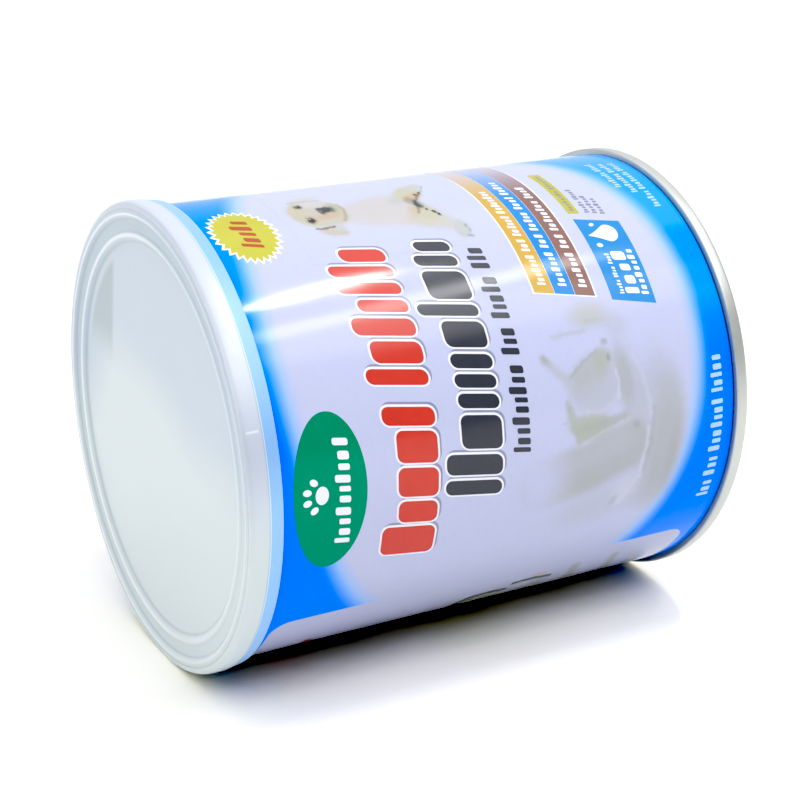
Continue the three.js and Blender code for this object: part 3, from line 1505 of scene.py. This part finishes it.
@dataclass
class ContentsBox(PrintGroup):
    """Blue slanted box with three white lines and a milk drop, and the small print beside it.

    Attributes:
        foot: Start and end of its foot round the wall.
        span: Its top and foot, down the tin.
        slant: Slant of its ends.
    """

    foot: tuple[float, float] = (28.2, 49.5)
    span: tuple[float, float] = (90.3, 101.1)
    slant: float = 0.215

    def layers(self) -> Sequence[InkLayer]:
        """Lays the box.

        Returns:
            The layers of ink.
        """
        box = InkLayer("contents_box", Ink.SKY)
        box.bar((self.foot[0], self.span[0]), (self.foot[1], self.span[1]), 0.05, self.slant)
        mark = InkLayer("contents_mark", Ink.WHITE, 1)
        PrintLine(31.4, 41.5, 93.9, 1.1, (5, 4, 4)).lay(mark)
        PrintLine(30.9, 42.6, 97.8, 3.4, (4,)).lay(mark)
        PrintLine(30.4, 42.0, 100.0, 1.8, (8,)).lay(mark)
        self._drop(mark, (46.6, 96.6))
        return box, mark, *self._beside()

    @staticmethod
    def _drop(layer: InkLayer, at: tuple[float, float]) -> None:
        """Adds a milk drop with two small ones beside it.

        The drop is a disc whose upper half is drawn out to a point: heights above its middle grow
        and widths shrink with the square of the height.

        Args:
            layer: The layer to add to.
            at: Middle of the drop's round part.
        """
        layer.disc((0.0, 0.0), (4.8, 4.8))
        u, v = layer.patches.pop()
        up = np.clip(-v / 2.4, 0.0, 1.0)
        layer.patches.append((at[0] + u * (1.0 - 0.75 * up**2), at[1] + v * (1.0 + 1.1 * up**2)))
        layer.disc((at[0] - 2.9, at[1] - 3.6), (1.1, 1.5), 12.0)
        layer.disc((at[0] + 2.9, at[1] - 2.8), (0.9, 1.3), -12.0)

    @staticmethod
    def _beside() -> tuple[InkLayer, InkLayer]:
        """Lays the lime bar and the small print beside the box.

        Returns:
            The layers of ink.
        """
        bar = InkLayer("note_bar", Ink.LIME)
        bar.bar((53.4, 90.2), (71.2, 93.0), 0.3, 0.1)
        small = InkLayer("note_print", Ink.GREY, 1)
        PrintLine(54.4, 70.4, 92.2, 1.1, (8, 7)).lay(small)
        PrintLine(53.2, 62.4, 95.6, 1.2, (5, 5)).lay(small)
        PrintLine(52.7, 59.4, 97.4, 1.2, (7,)).lay(small)
        PrintLine(52.2, 58.0, 99.2, 1.2, (6,)).lay(small)
        return bar, small


@dataclass
class EndPrint(PrintGroup):
    """Pale print on the far blue band.

    Attributes:
        weight: The line low on the band.
        notes: The three lines high on it.
    """

    weight: PrintLine = PrintLine(-19.4, 15.5, 114.8, 3.2, (3, 3, 7, 5))
    notes: tuple[PrintLine, ...] = (
        PrintLine(60.6, 74.0, 109.0, 1.7, (8, 5)),
        PrintLine(58.0, 73.4, 111.8, 1.7, (9, 6)),
        PrintLine(52.3, 73.0, 114.5, 1.7, (6, 8, 5)),
    )

    def layers(self) -> Sequence[InkLayer]:
        """Lays the lines.

        Returns:
            The layers of ink.
        """
        layer = InkLayer("end_print", Ink.ICE)
        for line in (self.weight, *self.notes):
            line.lay(layer, 0.0)
        return (layer,)


class Tone(Enum):
    """Tones of the soft pictures, in linear light."""

    CREAM = linear(182, 181, 164)
    PALE = linear(180, 183, 184)
    SAND = linear(182, 176, 158)
    BLUSH = linear(187, 167, 149)
    FAWN = linear(146, 130, 116)
    OLIVE = linear(172, 177, 174)
    MOSS = linear(156, 160, 148)
    UMBER = linear(112, 106, 92)
    SLATE = linear(88, 91, 93)
    INKY = linear(83, 82, 82)
    MILK = linear(198, 202, 220)
    VEIL = linear(188, 193, 222)
    MIST = linear(179, 183, 197)
    FOG = linear(171, 175, 181)
    ASH = linear(153, 157, 161)
    IVORY = linear(183, 179, 173)
    SNOW = linear(189, 187, 190)


@dataclass(frozen=True)
class Blot:
    """A soft oval touch of the brush, in millimetres.

    Attributes:
        at: Its middle, round the wall and down the tin.
        half: Its half-lengths.
        tone: Its tone.
        strength: How much it covers, up to 1.
        soft: Half the width of its edge, as a share of its size.
        turn: Its turn, in degrees.
    """

    at: tuple[float, float]
    half: tuple[float, float]
    tone: Tone
    strength: float = 1.0
    soft: float = 0.35
    turn: float = 0.0

    def share(self, u: np.ndarray, v: np.ndarray) -> np.ndarray:
        """How much it covers each place.

        The distance from its middle, as a share of its half-length that way, is stepped smoothly
        down from 1 to 0 over its soft edge.

        Args:
            u: Places round the wall.
            v: Places down the tin.

        Returns:
            The share of its tone at each place.
        """
        c, s = math.cos(math.radians(self.turn)), math.sin(math.radians(self.turn))
        du, dv = u - self.at[0], v - self.at[1]
        away = np.hypot((du * c + dv * s) / self.half[0], (dv * c - du * s) / self.half[1])
        return self.strength * (1.0 - smooth_step(1.0 - self.soft, 1.0 + self.soft, away))


@dataclass(frozen=True)
class Stroke:
    """A soft line through a few points, in millimetres.

    Attributes:
        points: The points, round the wall and down the tin.
        width: Its width.
        tone: Its tone.
        strength: How much it covers, up to 1.
        soft: Width of its soft edge, as a share of its width.
    """

    points: tuple[tuple[float, float], ...]
    width: float
    tone: Tone
    strength: float = 1.0
    soft: float = 0.8

    def share(self, u: np.ndarray, v: np.ndarray) -> np.ndarray:
        """How much it covers each place.

        The distance to each straight run is that to the nearest point between its ends, and the
        least of these is stepped smoothly from 1 to 0.

        Args:
            u: Places round the wall.
            v: Places down the tin.

        Returns:
            The share of its tone at each place.
        """
        away = np.full(u.shape, np.inf)
        for (u0, v0), (u1, v1) in zip(self.points, self.points[1:]):
            run = (u1 - u0) ** 2 + (v1 - v0) ** 2
            share = np.clip(((u - u0) * (u1 - u0) + (v - v0) * (v1 - v0)) / run, 0.0, 1.0)
            away = np.minimum(away, np.hypot(u - u0 - share * (u1 - u0), v - v0 - share * (v1 - v0)))
        edge = self.width / 2
        inner, outer = edge * (1.0 - self.soft), edge * (1.0 + self.soft)
        return self.strength * (1.0 - smooth_step(inner, outer, away))


Touch = Union[Blot, Stroke]


@dataclass
class SoftPicture:
    """A picture in soft touches over a piece of the wall.

    Attributes:
        name: Name of the piece.
        low: Least place round the wall and down the tin, in millimetres.
        high: Greatest place.
        cell: Spacing of its points.
        touches: Its touches, from the first to the last.
    """

    name: str
    low: tuple[float, float]
    high: tuple[float, float]
    cell: float
    touches: tuple[Touch, ...]

    ATTRIBUTE = "picture"
    LIFT = 0.012

    def build(self, shop: PrintShop) -> bpy.types.Object:
        """Paints and prints the picture.

        Each touch lies over those before it: the cover becomes its share plus what it leaves of the
        old cover, and the colour is their average by those shares. A slow double wave of a sixth
        of a millimetre ruffles the edges.

        Args:
            shop: The print shop.

        Returns:
            The piece.
        """
        ends = zip(self.low, self.high)
        lines = [np.linspace(a, b, int((b - a) / self.cell) + 1) for a, b in ends]
        around, down = np.meshgrid(*lines, indexing="ij")
        u = around + 0.09 * np.sin(2.3 * down + 1.3 * around) + 0.06 * np.sin(4.1 * down - 2.0 * around)
        v = down + 0.09 * np.sin(1.9 * around - 1.1 * down) + 0.06 * np.sin(3.7 * around + 1.7 * down)
        colour, cover = np.zeros((*u.shape, 3)), np.zeros(u.shape)
        for touch in self.touches:
            share = touch.share(u, v)
            left = cover * (1.0 - share)
            cover = share + left
            weight = np.divide(share, cover, out=np.zeros_like(share), where=cover > 0)[..., None]
            colour = colour * (1.0 - weight) + np.array(touch.tone.value) * weight
        piece = wrapped(self.name, shop.tin, self.LIFT, [(around, down)])
        values = np.concatenate([colour, cover[..., None]], axis=-1).reshape(-1, 4)
        attribute = piece.data.color_attributes.new(self.ATTRIBUTE, "FLOAT_COLOR", "POINT")
        attribute.data.foreach_set("color", np.tile(values, (2, 1)).astype(np.float32).ravel())
        return keep(piece, shop.picture(self.name))


def puppy_picture() -> SoftPicture:
    """The cream puppy that sits beside the headings.

    Returns:
        The picture.
    """
    touches = (
        Blot((63.2, 46.6), (5.6, 9.0), Tone.SNOW, 0.95, 0.34),
        Blot((60.6, 53.4), (4.4, 9.2), Tone.SNOW, 0.95, 0.32, 12.0),
        Blot((66.2, 50.6), (4.2, 6.4), Tone.SNOW, 0.9, 0.45, -14.0),
        Blot((57.0, 58.6), (2.6, 6.2), Tone.CREAM, 0.6, 0.4, 20.0),
        Blot((53.6, 63.2), (2.9, 1.9), Tone.PALE, 0.95, 0.3, 14.0),
        Blot((61.2, 57.8), (3.2, 2.6), Tone.CREAM, 0.9, 0.4, -20.0),
        Blot((69.6, 58.2), (4.8, 3.0), Tone.CREAM, 1.0, 0.35, 40.0),
        Blot((72.8, 61.6), (2.4, 1.6), Tone.PALE, 0.9, 0.45, 36.0),
        Blot((66.6, 53.4), (1.6, 1.4), Tone.FOG, 0.5, 0.7),
        Blot((61.4, 55.4), (2.6, 1.2), Tone.BLUSH, 0.45, 0.7, 25.0),
        Blot((67.6, 58.8), (2.6, 1.3), Tone.BLUSH, 0.8, 0.5, 38.0),
        Stroke(((60.8, 56.3), (62.8, 57.3), (64.4, 57.8)), 0.7, Tone.FAWN, 0.8),
        Stroke(((65.4, 57.9), (67.2, 59.3), (69.3, 61.2)), 0.7, Tone.FAWN, 1.0),
        Blot((66.2, 56.8), (1.8, 1.1), Tone.FAWN, 0.6, 0.6, 15.0),
        Blot((64.2, 57.9), (1.7, 0.95), Tone.SLATE, 1.0, 0.5),
        Blot((64.6, 58.9), (1.3, 0.7), Tone.OLIVE, 0.7, 0.6),
        Blot((59.3, 60.6), (0.62, 0.36), Tone.INKY, 1.0, 0.4, -25.0),
        Blot((60.5, 59.8), (0.66, 0.4), Tone.INKY, 1.0, 0.4, -35.0),
        Blot((61.7, 58.8), (0.5, 0.36), Tone.SLATE, 0.9, 0.4),
        Blot((68.4, 59.7), (0.7, 0.5), Tone.UMBER, 1.0, 0.4),
        Blot((69.1, 61.0), (0.6, 0.35), Tone.SLATE, 0.9, 0.4, 35.0),
        Stroke(((69.4, 61.4), (71.4, 62.8), (73.0, 63.6)), 0.5, Tone.ASH, 0.6),
        Blot((51.3, 64.1), (0.4, 0.8), Tone.ASH, 1.0, 0.5, 15.0),
        Blot((52.9, 64.6), (0.6, 0.3), Tone.ASH, 0.9, 0.5),
        Blot((54.3, 64.5), (0.7, 0.3), Tone.ASH, 0.9, 0.5, 12.0),
        Blot((57.8, 35.0), (1.4, 3.2), Tone.SAND, 0.85, 0.35, 14.0),
        Blot((59.0, 36.4), (1.0, 1.8), Tone.PALE, 0.9, 0.4),
        Blot((72.9, 34.4), (1.4, 3.9), Tone.SNOW, 0.95, 0.4, -12.0),
        Blot((65.9, 33.4), (6.0, 5.2), Tone.CREAM, 1.0, 0.16),
        Blot((65.6, 37.8), (4.9, 3.3), Tone.CREAM, 1.0, 0.2),
        Blot((61.8, 36.4), (2.0, 3.2), Tone.IVORY, 0.9, 0.5),
        Blot((69.8, 35.2), (2.2, 3.6), Tone.SNOW, 0.95, 0.5),
        Blot((66.0, 34.0), (2.1, 2.8), Tone.IVORY, 0.85, 0.6),
        Blot((63.8, 36.4), (1.1, 2.9), Tone.BLUSH, 0.85, 0.5, -8.0),
        Stroke(((59.5, 31.6), (59.3, 33.6), (59.7, 35.6)), 0.62, Tone.UMBER, 0.85),
        Stroke(((71.9, 30.8), (72.1, 34.0), (71.6, 37.6)), 0.8, Tone.FOG, 0.9),
        Stroke(((61.2, 38.8), (63.2, 40.2), (66.0, 40.8), (68.2, 40.5)), 0.7, Tone.FAWN, 0.45),
        Blot((62.9, 32.0), (1.45, 1.15), Tone.FAWN, 0.7, 0.5),
        Blot((62.8, 32.0), (1.0, 0.85), Tone.INKY, 1.0, 0.3),
        Blot((69.4, 31.8), (1.25, 1.15), Tone.FAWN, 0.6, 0.5),
        Blot((69.4, 31.9), (0.9, 0.8), Tone.INKY, 1.0, 0.35),
        Blot((63.3, 31.75), (0.26, 0.22), Tone.PALE, 0.9, 0.4),
        Blot((69.8, 31.6), (0.26, 0.22), Tone.PALE, 0.8, 0.4),
        Blot((66.9, 38.7), (1.9, 1.2), Tone.MOSS, 0.8, 0.6),
        Blot((66.4, 38.4), (1.2, 0.6), Tone.SLATE, 0.6, 0.5),
        Blot((66.3, 35.9), (1.6, 0.9), Tone.SLATE, 1.0, 0.35),
        Blot((66.6, 37.0), (1.3, 1.5), Tone.SLATE, 1.0, 0.4),
        Blot((66.0, 35.6), (0.7, 0.3), Tone.ASH, 0.35, 0.6),
    )
    return SoftPicture("puppy_picture", (49.0, 26.0), (78.0, 68.0), 0.27, touches)


def milk_picture() -> SoftPicture:
    """Milk poured into milk, in pale greys.

    Returns:
        The picture.
    """
    touches = (
        Blot((-3.0, 99.6), (14.0, 4.4), Tone.FOG, 0.85, 0.45, 7.0),
        Blot((-12.0, 96.0), (6.0, 5.0), Tone.FOG, 0.5, 0.6, 30.0),
        Blot((7.0, 98.0), (10.0, 4.6), Tone.FOG, 0.6, 0.7),
        Blot((-14.5, 83.0), (4.6, 11.0), Tone.MIST, 0.6, 0.8, -8.0),
        Blot((-5.0, 101.6), (8.0, 1.5), Tone.FAWN, 0.12, 0.7, 8.0),
        Blot((-12.4, 90.0), (3.4, 2.6), Tone.MILK, 0.5, 0.7, 35.0),
        Stroke(((-6.6, 68.0), (-4.4, 80.0), (-1.4, 90.0)), 11.6, Tone.FOG, 0.9, 0.3),
        Stroke(((-10.8, 70.0), (-9.4, 76.0), (-8.2, 82.0)), 3.4, Tone.OLIVE, 0.4, 0.9),
        Stroke(((-3.4, 74.0), (-1.6, 82.0), (0.4, 89.0)), 4.2, Tone.MIST, 0.4, 0.9),
        Blot((-6.0, 66.4), (10.0, 6.4), Tone.VEIL, 0.95, 0.85, -10.0),
        Blot((10.0, 90.6), (10.0, 3.4), Tone.FOG, 0.55, 0.7, -6.0),
        Blot((3.4, 81.4), (1.7, 5.4), Tone.OLIVE, 1.0, 0.3, -12.0),
        Blot((5.2, 79.6), (2.1, 5.4), Tone.OLIVE, 1.0, 0.35, 2.0),
        Stroke(((2.2, 77.0), (5.0, 75.8), (8.6, 74.6)), 2.1, Tone.OLIVE, 0.9, 0.6),
        Stroke(((4.4, 83.0), (5.4, 88.4)), 2.2, Tone.FOG, 0.9, 0.7),
        Blot((4.6, 80.6), (1.2, 4.6), Tone.MOSS, 0.22, 0.8, -8.0),
        Blot((10.1, 74.2), (1.1, 0.75), Tone.MOSS, 0.45, 0.5),
        Blot((6.4, 73.2), (0.4, 0.9), Tone.MOSS, 0.25, 0.6),
        Blot((12.4, 81.4), (5.8, 6.6), Tone.MIST, 0.75, 0.3),
        Blot((14.0, 89.0), (6.4, 1.9), Tone.FOG, 0.8, 0.5, -6.0),
        Blot((16.0, 80.4), (3.2, 5.8), Tone.OLIVE, 0.7, 0.5, -22.0),
        Blot((18.6, 84.0), (2.2, 2.4), Tone.OLIVE, 0.9, 0.5, -20.0),
        Blot((11.6, 80.8), (3.2, 4.2), Tone.MIST, 0.6, 0.7),
        Stroke(((7.9, 78.6), (7.5, 82.6), (8.8, 85.6), (10.4, 86.9)), 1.0, Tone.MILK, 0.25, 0.9),
        Stroke(((9.4, 87.1), (12.6, 87.4), (15.6, 87.0)), 0.6, Tone.MILK, 0.7, 0.8),
        Stroke(((1.1, 77.4), (3.0, 83.4), (4.7, 89.4)), 0.8, Tone.MILK, 0.3, 0.9),
        Stroke(((14.8, 75.2), (16.8, 72.8), (18.8, 71.2)), 2.0, Tone.MIST, 0.9, 0.8),
        Blot((20.0, 70.0), (1.5, 0.9), Tone.FOG, 0.9, 0.6, -40.0),
        Blot((20.4, 69.8), (0.7, 0.6), Tone.MOSS, 0.4, 0.6),
        Stroke(((15.8, 75.6), (18.4, 79.0), (20.2, 82.6)), 0.8, Tone.ASH, 0.4, 0.8),
        Stroke(((24.6, 73.0), (24.9, 77.0), (24.8, 81.0)), 0.9, Tone.FOG, 0.5, 0.8),
        Stroke(((26.8, 82.0), (26.6, 86.4)), 0.8, Tone.FOG, 0.6, 0.8),
        Blot((28.2, 83.2), (2.8, 4.8), Tone.PALE, 0.8, 0.7),
        Blot((25.0, 89.0), (2.6, 3.0), Tone.MIST, 0.5, 0.6),
        Blot((18.5, 85.6), (0.7, 0.55), Tone.ASH, 0.9, 0.5),
        Blot((21.9, 85.3), (0.75, 0.95), Tone.ASH, 0.6, 0.5),
        Blot((3.2, 91.4), (1.0, 0.8), Tone.ASH, 0.5, 0.5),
        Blot((-14.6, 87.4), (1.4, 0.8), Tone.ASH, 0.35, 0.6, 25.0),
        Stroke(((-15.8, 88.4), (-12.4, 91.2), (-9.6, 92.6)), 0.7, Tone.MILK, 0.5, 0.8),
        Stroke(((-9.6, 93.3), (-6.0, 93.4), (-2.0, 94.4), (2.0, 94.6)), 0.8, Tone.MILK, 0.6, 0.9),
        Stroke(((4.0, 95.2), (8.0, 95.0), (14.0, 93.6), (18.6, 91.8)), 0.9, Tone.MILK, 0.35, 0.9),
        Stroke(((-8.0, 94.3), (-2.0, 95.5), (6.0, 96.2)), 1.0, Tone.ASH, 0.25, 0.8),
    )
    return SoftPicture("milk_picture", (-26.0, 61.0), (33.0, 107.0), 0.4, touches)


def back_picture() -> SoftPicture:
    """Soft pictures at the near edge of the back panel.

    Returns:
        The picture.
    """
    loop = ((-53.0, 62.0), (-47.0, 58.6), (-43.2, 61.2), (-42.6, 65.6), (-43.2, 69.4))
    touches = (
        Blot((-50.0, 76.0), (9.0, 19.0), Tone.MIST, 0.5, 0.5),
        Blot((-56.0, 66.0), (13.0, 9.0), Tone.ASH, 0.8, 0.3),
        Blot((-51.0, 64.5), (7.0, 5.5), Tone.MOSS, 0.8, 0.35),
        Stroke(loop, 1.9, Tone.INKY, 1.0, 0.4),
        Stroke(((-39.9, 71.0), (-39.7, 76.0), (-40.4, 80.4)), 1.7, Tone.INKY, 1.0, 0.4),
        Blot((-37.8, 76.6), (0.9, 1.8), Tone.BLUSH, 0.8, 0.5),
        Blot((-52.0, 78.0), (10.0, 4.0), Tone.ASH, 0.7, 0.4),
        Stroke(((-58.0, 90.6), (-47.0, 88.6), (-37.6, 86.4)), 2.6, Tone.MOSS, 0.7, 0.5),
        Stroke(((-58.0, 100.6), (-47.0, 98.8), (-37.0, 96.8)), 2.4, Tone.MOSS, 0.7, 0.5),
        Stroke(((-58.0, 106.0), (-46.0, 105.4), (-38.0, 102.6)), 1.6, Tone.SAND, 0.6, 0.5),
    )
    return SoftPicture("back_picture", (-72.0, 54.0), (-34.0, 110.0), 0.5, touches)


@dataclass
class BackPanel(PrintGroup):
    """Print of the back panel: titles, lines of small print and a table, all as plain blocks.

    Attributes:
        left: Left edge of the print round the wall, in millimetres.
        column: Width of a column of print.
        gutter: Gap between columns.
        pitch: Distance between lines.
    """

    left: float = -213.0
    column: float = 52.0
    gutter: float = 7.0
    pitch: float = 3.3

    def _paragraph(self, layer: InkLayer, left: float, top: float, lines: int) -> None:
        """Lays a paragraph whose last line is short.

        Args:
            layer: The layer.
            left: Its left edge round the wall.
            top: Foot of its first line, down the tin.
            lines: How many lines it has.
        """
        words = ((6, 8, 4, 9, 5), (9, 4, 7, 6, 6), (5, 7, 8, 4, 8))
        for i in range(lines):
            end = left + self.column * (0.58 if i == lines - 1 else 0.97 + 0.03 * (i % 2))
            line = words[i % 3] if i < lines - 1 else words[i % 3][:3]
            PrintLine(left, end, top + i * self.pitch, 1.7, line).lay(layer, 0.0)

    def _table(self, layer: InkLayer, left: float, top: float) -> None:
        """Lays a ruled table of four rows and three columns.

        Args:
            layer: The layer.
            left: Its left edge round the wall.
            top: Its top, down the tin.
        """
        row, rule, columns = 5.4, 0.3, (0.0, 0.36, 0.68, 1.0)
        for i in range(5):
            at = top + i * row
            layer.bar((left, at - rule / 2), (left + self.column, at + rule / 2), 0.0)
        for share in columns:
            at = left + self.column * share
            layer.bar((at - rule / 2, top + rule), (at + rule / 2, top + 4 * row - rule), 0.0)
        for i in range(4):
            for share in columns[:3]:
                start = left + self.column * share + 2.0
                line = PrintLine(start, start + 10.0, top + (i + 0.68) * row, 1.8, (5 + i % 2,))
                line.lay(layer, 0.0)

    def layers(self) -> Sequence[InkLayer]:
        """Lays the print.

        Returns:
            The layers of ink.
        """
        title = InkLayer("back_titles", Ink.DEEP_RED)
        small = InkLayer("back_print", Ink.CHARCOAL)
        middle = self.left + self.column + self.gutter
        right = middle + self.column + self.gutter
        heads = ((self.left, 25.0, (6, 5)), (middle, 25.0, (9,)), (middle, 78.0, (7, 4)))
        for left, top, words in heads:
            PrintLine(left, left + 34.0, top, 3.6, words).lay(title, 0.0)
        PrintLine(right + 6.0, -44.6, 23.4, 3.6, (8, 7)).lay(title, 0.0)
        for top, lines in ((32.0, 9), (66.0, 7), (94.0, 4)):
            self._paragraph(small, self.left, top, lines)
        self._paragraph(small, middle, 32.0, 6)
        self._table(small, middle, 52.0)
        self._paragraph(small, middle, 84.0, 7)
        for i in range(6):
            PrintLine(right, -50.0, 30.0 + i * self.pitch, 1.7, (7, 5, 9, 6)).lay(small, 0.0)
        return title, small


@dataclass(frozen=True)
class LightPanel:
    """A soft light panel that faces the tin.

    Attributes:
        name: Name of the light.
        at: Its place, in metres.
        size: Its length and width, in metres.
        power: Its power, in watts.
        along: The direction that its length follows.
        target: What it faces, in metres.
    """

    name: str
    at: tuple[float, float, float]
    size: tuple[float, float]
    power: float
    along: tuple[float, float, float]
    target: tuple[float, float, float] = (0.0, 0.0, 0.1)

    def hang(self) -> None:
        """Hangs the panel so that it faces its target, with its length nearest to its direction."""
        data = bpy.data.lights.new(self.name, "AREA")
        data.shape = "RECTANGLE"
        data.size, data.size_y = self.size
        data.energy = self.power
        light = bpy.data.objects.new(self.name, data)
        back = (Vector(self.at) - Vector(self.target)).normalized()
        side = (Vector(self.along) - back * Vector(self.along).dot(back)).normalized()
        turn = Matrix((side, back.cross(side), back)).transposed().to_4x4()
        light.matrix_world = Matrix.Translation(Vector(self.at)) @ turn
        bpy.context.scene.collection.objects.link(light)


@dataclass
class Studio:
    """Pale floor, soft lights and the camera at the photo's angle.

    Attributes:
        camera_mm: Camera's place: from the cap's face, on Y, and above the axis.
        azimuth: Camera's azimuth, in degrees.
        elevation: Its height above the horizon, in degrees.
        lens: Focal length on a 36 mm sensor.
        bright: Strength of the softbox overhead.
        behind: Strength of the room behind the tin.
        before: Strength of the room in front of it.
        softbox_edge: Heights where the softbox starts and is full, in degrees.
        lean: How much the softbox leans towards the cap.
        ahead: Strength of the band high in front of the tin.
        ahead_band: Heights where the band starts, is full, fades and ends, in degrees.
        ahead_ends: Distance from its middle where the band ends and is full.
        beside: Strength of the white wall beyond the cap.
        wall_edge: How far towards the cap that wall starts and is full.
        paper: Colour of the floor.
        shadow_tint_paper: Warmer colour of the floor right under the tin, a painted tint that takes the
            blue bounced light out of its shadow.
        shade: Half-lengths on X and Y where that painted tint ends, in metres.
        shade_edge: Width of the tint's soft edge on X and Y.
        black: Level of the scene that becomes black in the picture.
        white: Level that becomes white.
        panels: The light panels.
    """

    camera_mm: tuple[float, float, float] = (-127.6, -336.2, 132.4)
    azimuth: float = -29.305
    elevation: float = 19.124
    lens: float = 79.96
    bright: float = 1.1
    behind: float = 0.7
    before: float = 0.25
    softbox_edge: tuple[float, float] = (28.0, 46.0)
    lean: float = 0.13
    ahead: float = 1.52
    ahead_band: tuple[float, float, float, float] = (43.0, 48.0, 63.0, 69.0)
    ahead_ends: tuple[float, float] = (0.85, 0.6)
    beside: float = 0.31
    wall_edge: tuple[float, float] = (0.3, 0.75)
    paper: Colour = (0.97, 0.96, 0.93)
    shadow_tint_paper: Colour = (0.97, 0.92, 0.68)
    shade: tuple[float, float] = (0.064, 0.026)
    shade_edge: tuple[float, float] = (0.012, 0.014)
    black: float = 0.075
    white: float = 0.80
    panels: tuple[LightPanel, ...] = (
        LightPanel("strip", (0.248, -0.126, 0.69), (0.125, 0.019), 0.72, (0.571, 0.821, 0.0)),
        LightPanel("glow", (0.284, -0.2395, 0.6), (0.284, 0.05), 0.3, (0.713, 0.701, 0.0)),
    )

    def camera(self, tin: TinFrame) -> None:
        """Sets up the camera.

        Args:
            tin: The tin's frame.
        """
        data = bpy.data.cameras.new("camera")
        data.lens = self.lens
        data.sensor_width = 36.0
        data.clip_start = 0.01
        camera = bpy.data.objects.new("camera", data)
        along, aside, above = self.camera_mm
        camera.location = Vector((tin.cap_face + along, aside, tin.axis_height + above)) * MM
        a, e = math.radians(self.azimuth), math.radians(self.elevation)
        sight = Vector((-math.sin(a) * math.cos(e), math.cos(a) * math.cos(e), -math.sin(e)))
        camera.rotation_euler = sight.to_track_quat("-Z", "Y").to_euler()
        bpy.context.scene.collection.objects.link(camera)
        bpy.context.scene.camera = camera

    def floor(self) -> None:
        """Lays the pale floor, with a painted warm tint in the tin's shadow."""
        mesh = bpy.data.meshes.new("floor")
        reach = 6.0
        signs = ((-1, -1), (1, -1), (1, 1), (-1, 1))
        corners = [(reach * x, reach * y, 0.0) for x, y in signs]
        mesh.from_pydata(corners, [], [(0, 1, 2, 3)])
        floor = bpy.data.objects.new("floor", mesh)
        bpy.context.scene.collection.objects.link(floor)
        paint = Paint("floor_paper", Roughness=0.6)
        x, y, _ = paint.split(paint.place())
        reaches = zip((x, y), self.shade, self.shade_edge)
        across, aside = (value.size().step(end, end - edge) for value, end, edge in reaches)
        under = aside * across
        # Painted tint under the tin: it warms the shadow there against the blue light bounced off the
        # wall.
        colour = paint.mix(under, self.paper, self.shadow_tint_paper)
        mesh.materials.append(paint.feed(Base_Color=colour))

    def world(self) -> None:
        """Lights the room like a wide softbox overhead and a white wall beyond the cap.

        Low down, the room is dark in front and brighter behind. A bright band lies high in front.
        """
        world = bpy.data.worlds.new("room")
        world.use_nodes = True
        room = Tree(world.node_tree)
        direction = room.node("ShaderNodeTexCoord", {}, {}, "Generated")
        x, y, z = room.split(direction)
        edge = (math.sin(math.radians(a)) for a in self.softbox_edge)
        overhead = (z - x * self.lean).step(*edge) * self.bright
        around = y.step(-0.2, 0.5) * (self.behind - self.before) + self.before
        beside = (x * -1.0).step(*self.wall_edge) * self.beside
        low, inner, outer, high = (math.radians(a) for a in self.ahead_band)
        up = room.node("ShaderNodeMath", {"operation": "ARCTAN2"}, {0: z, 1: y * -1.0})
        band = up.step(low, inner) * up.step(high, outer)
        ahead = band * x.size().step(*self.ahead_ends) * self.ahead
        strength = overhead.at_least(around).at_least(beside) + ahead
        background = world.node_tree.nodes["Background"]
        room.fill(background.inputs["Color"], (1.0, 1.0, 1.0, 1.0))
        room.fill(background.inputs["Strength"], strength)
        bpy.context.scene.world = world

    def levels(self) -> None:
        """Sets the picture's black and white points."""
        view = bpy.context.scene.view_settings
        view.view_transform = "Standard"
        view.use_curve_mapping = True
        view.curve_mapping.black_level = (self.black,) * 3
        view.curve_mapping.white_level = (self.white,) * 3
        view.curve_mapping.update()

    def build(self, tin: TinFrame) -> None:
        """Builds the studio.

        Args:
            tin: The tin's frame.
        """
        self.camera(tin)
        self.floor()
        self.world()
        for panel in self.panels:
            panel.hang()
        self.levels()


def main() -> None:
    """Builds the studio and every piece of the tin, in order."""
    logging.basicConfig(level=logging.INFO, format="%(message)s")
    tin = TinFrame.from_solids()
    shop = PrintShop(tin)
    Studio().build(tin)
    Overcap().build(tin)
    SeamedEnd(EndSide.TOP).build(tin)
    SeamedEnd(EndSide.BOTTOM).build(tin)
    PrintedWall().build(shop)
    for picture in (puppy_picture(), milk_picture(), back_picture()):
        picture.build(shop)
    for group in (Headings, Badge, Burst, Stripes, ContentsBox, EndPrint, BackPanel):
        group().build(shop)


if __name__ == "__main__":
    main()
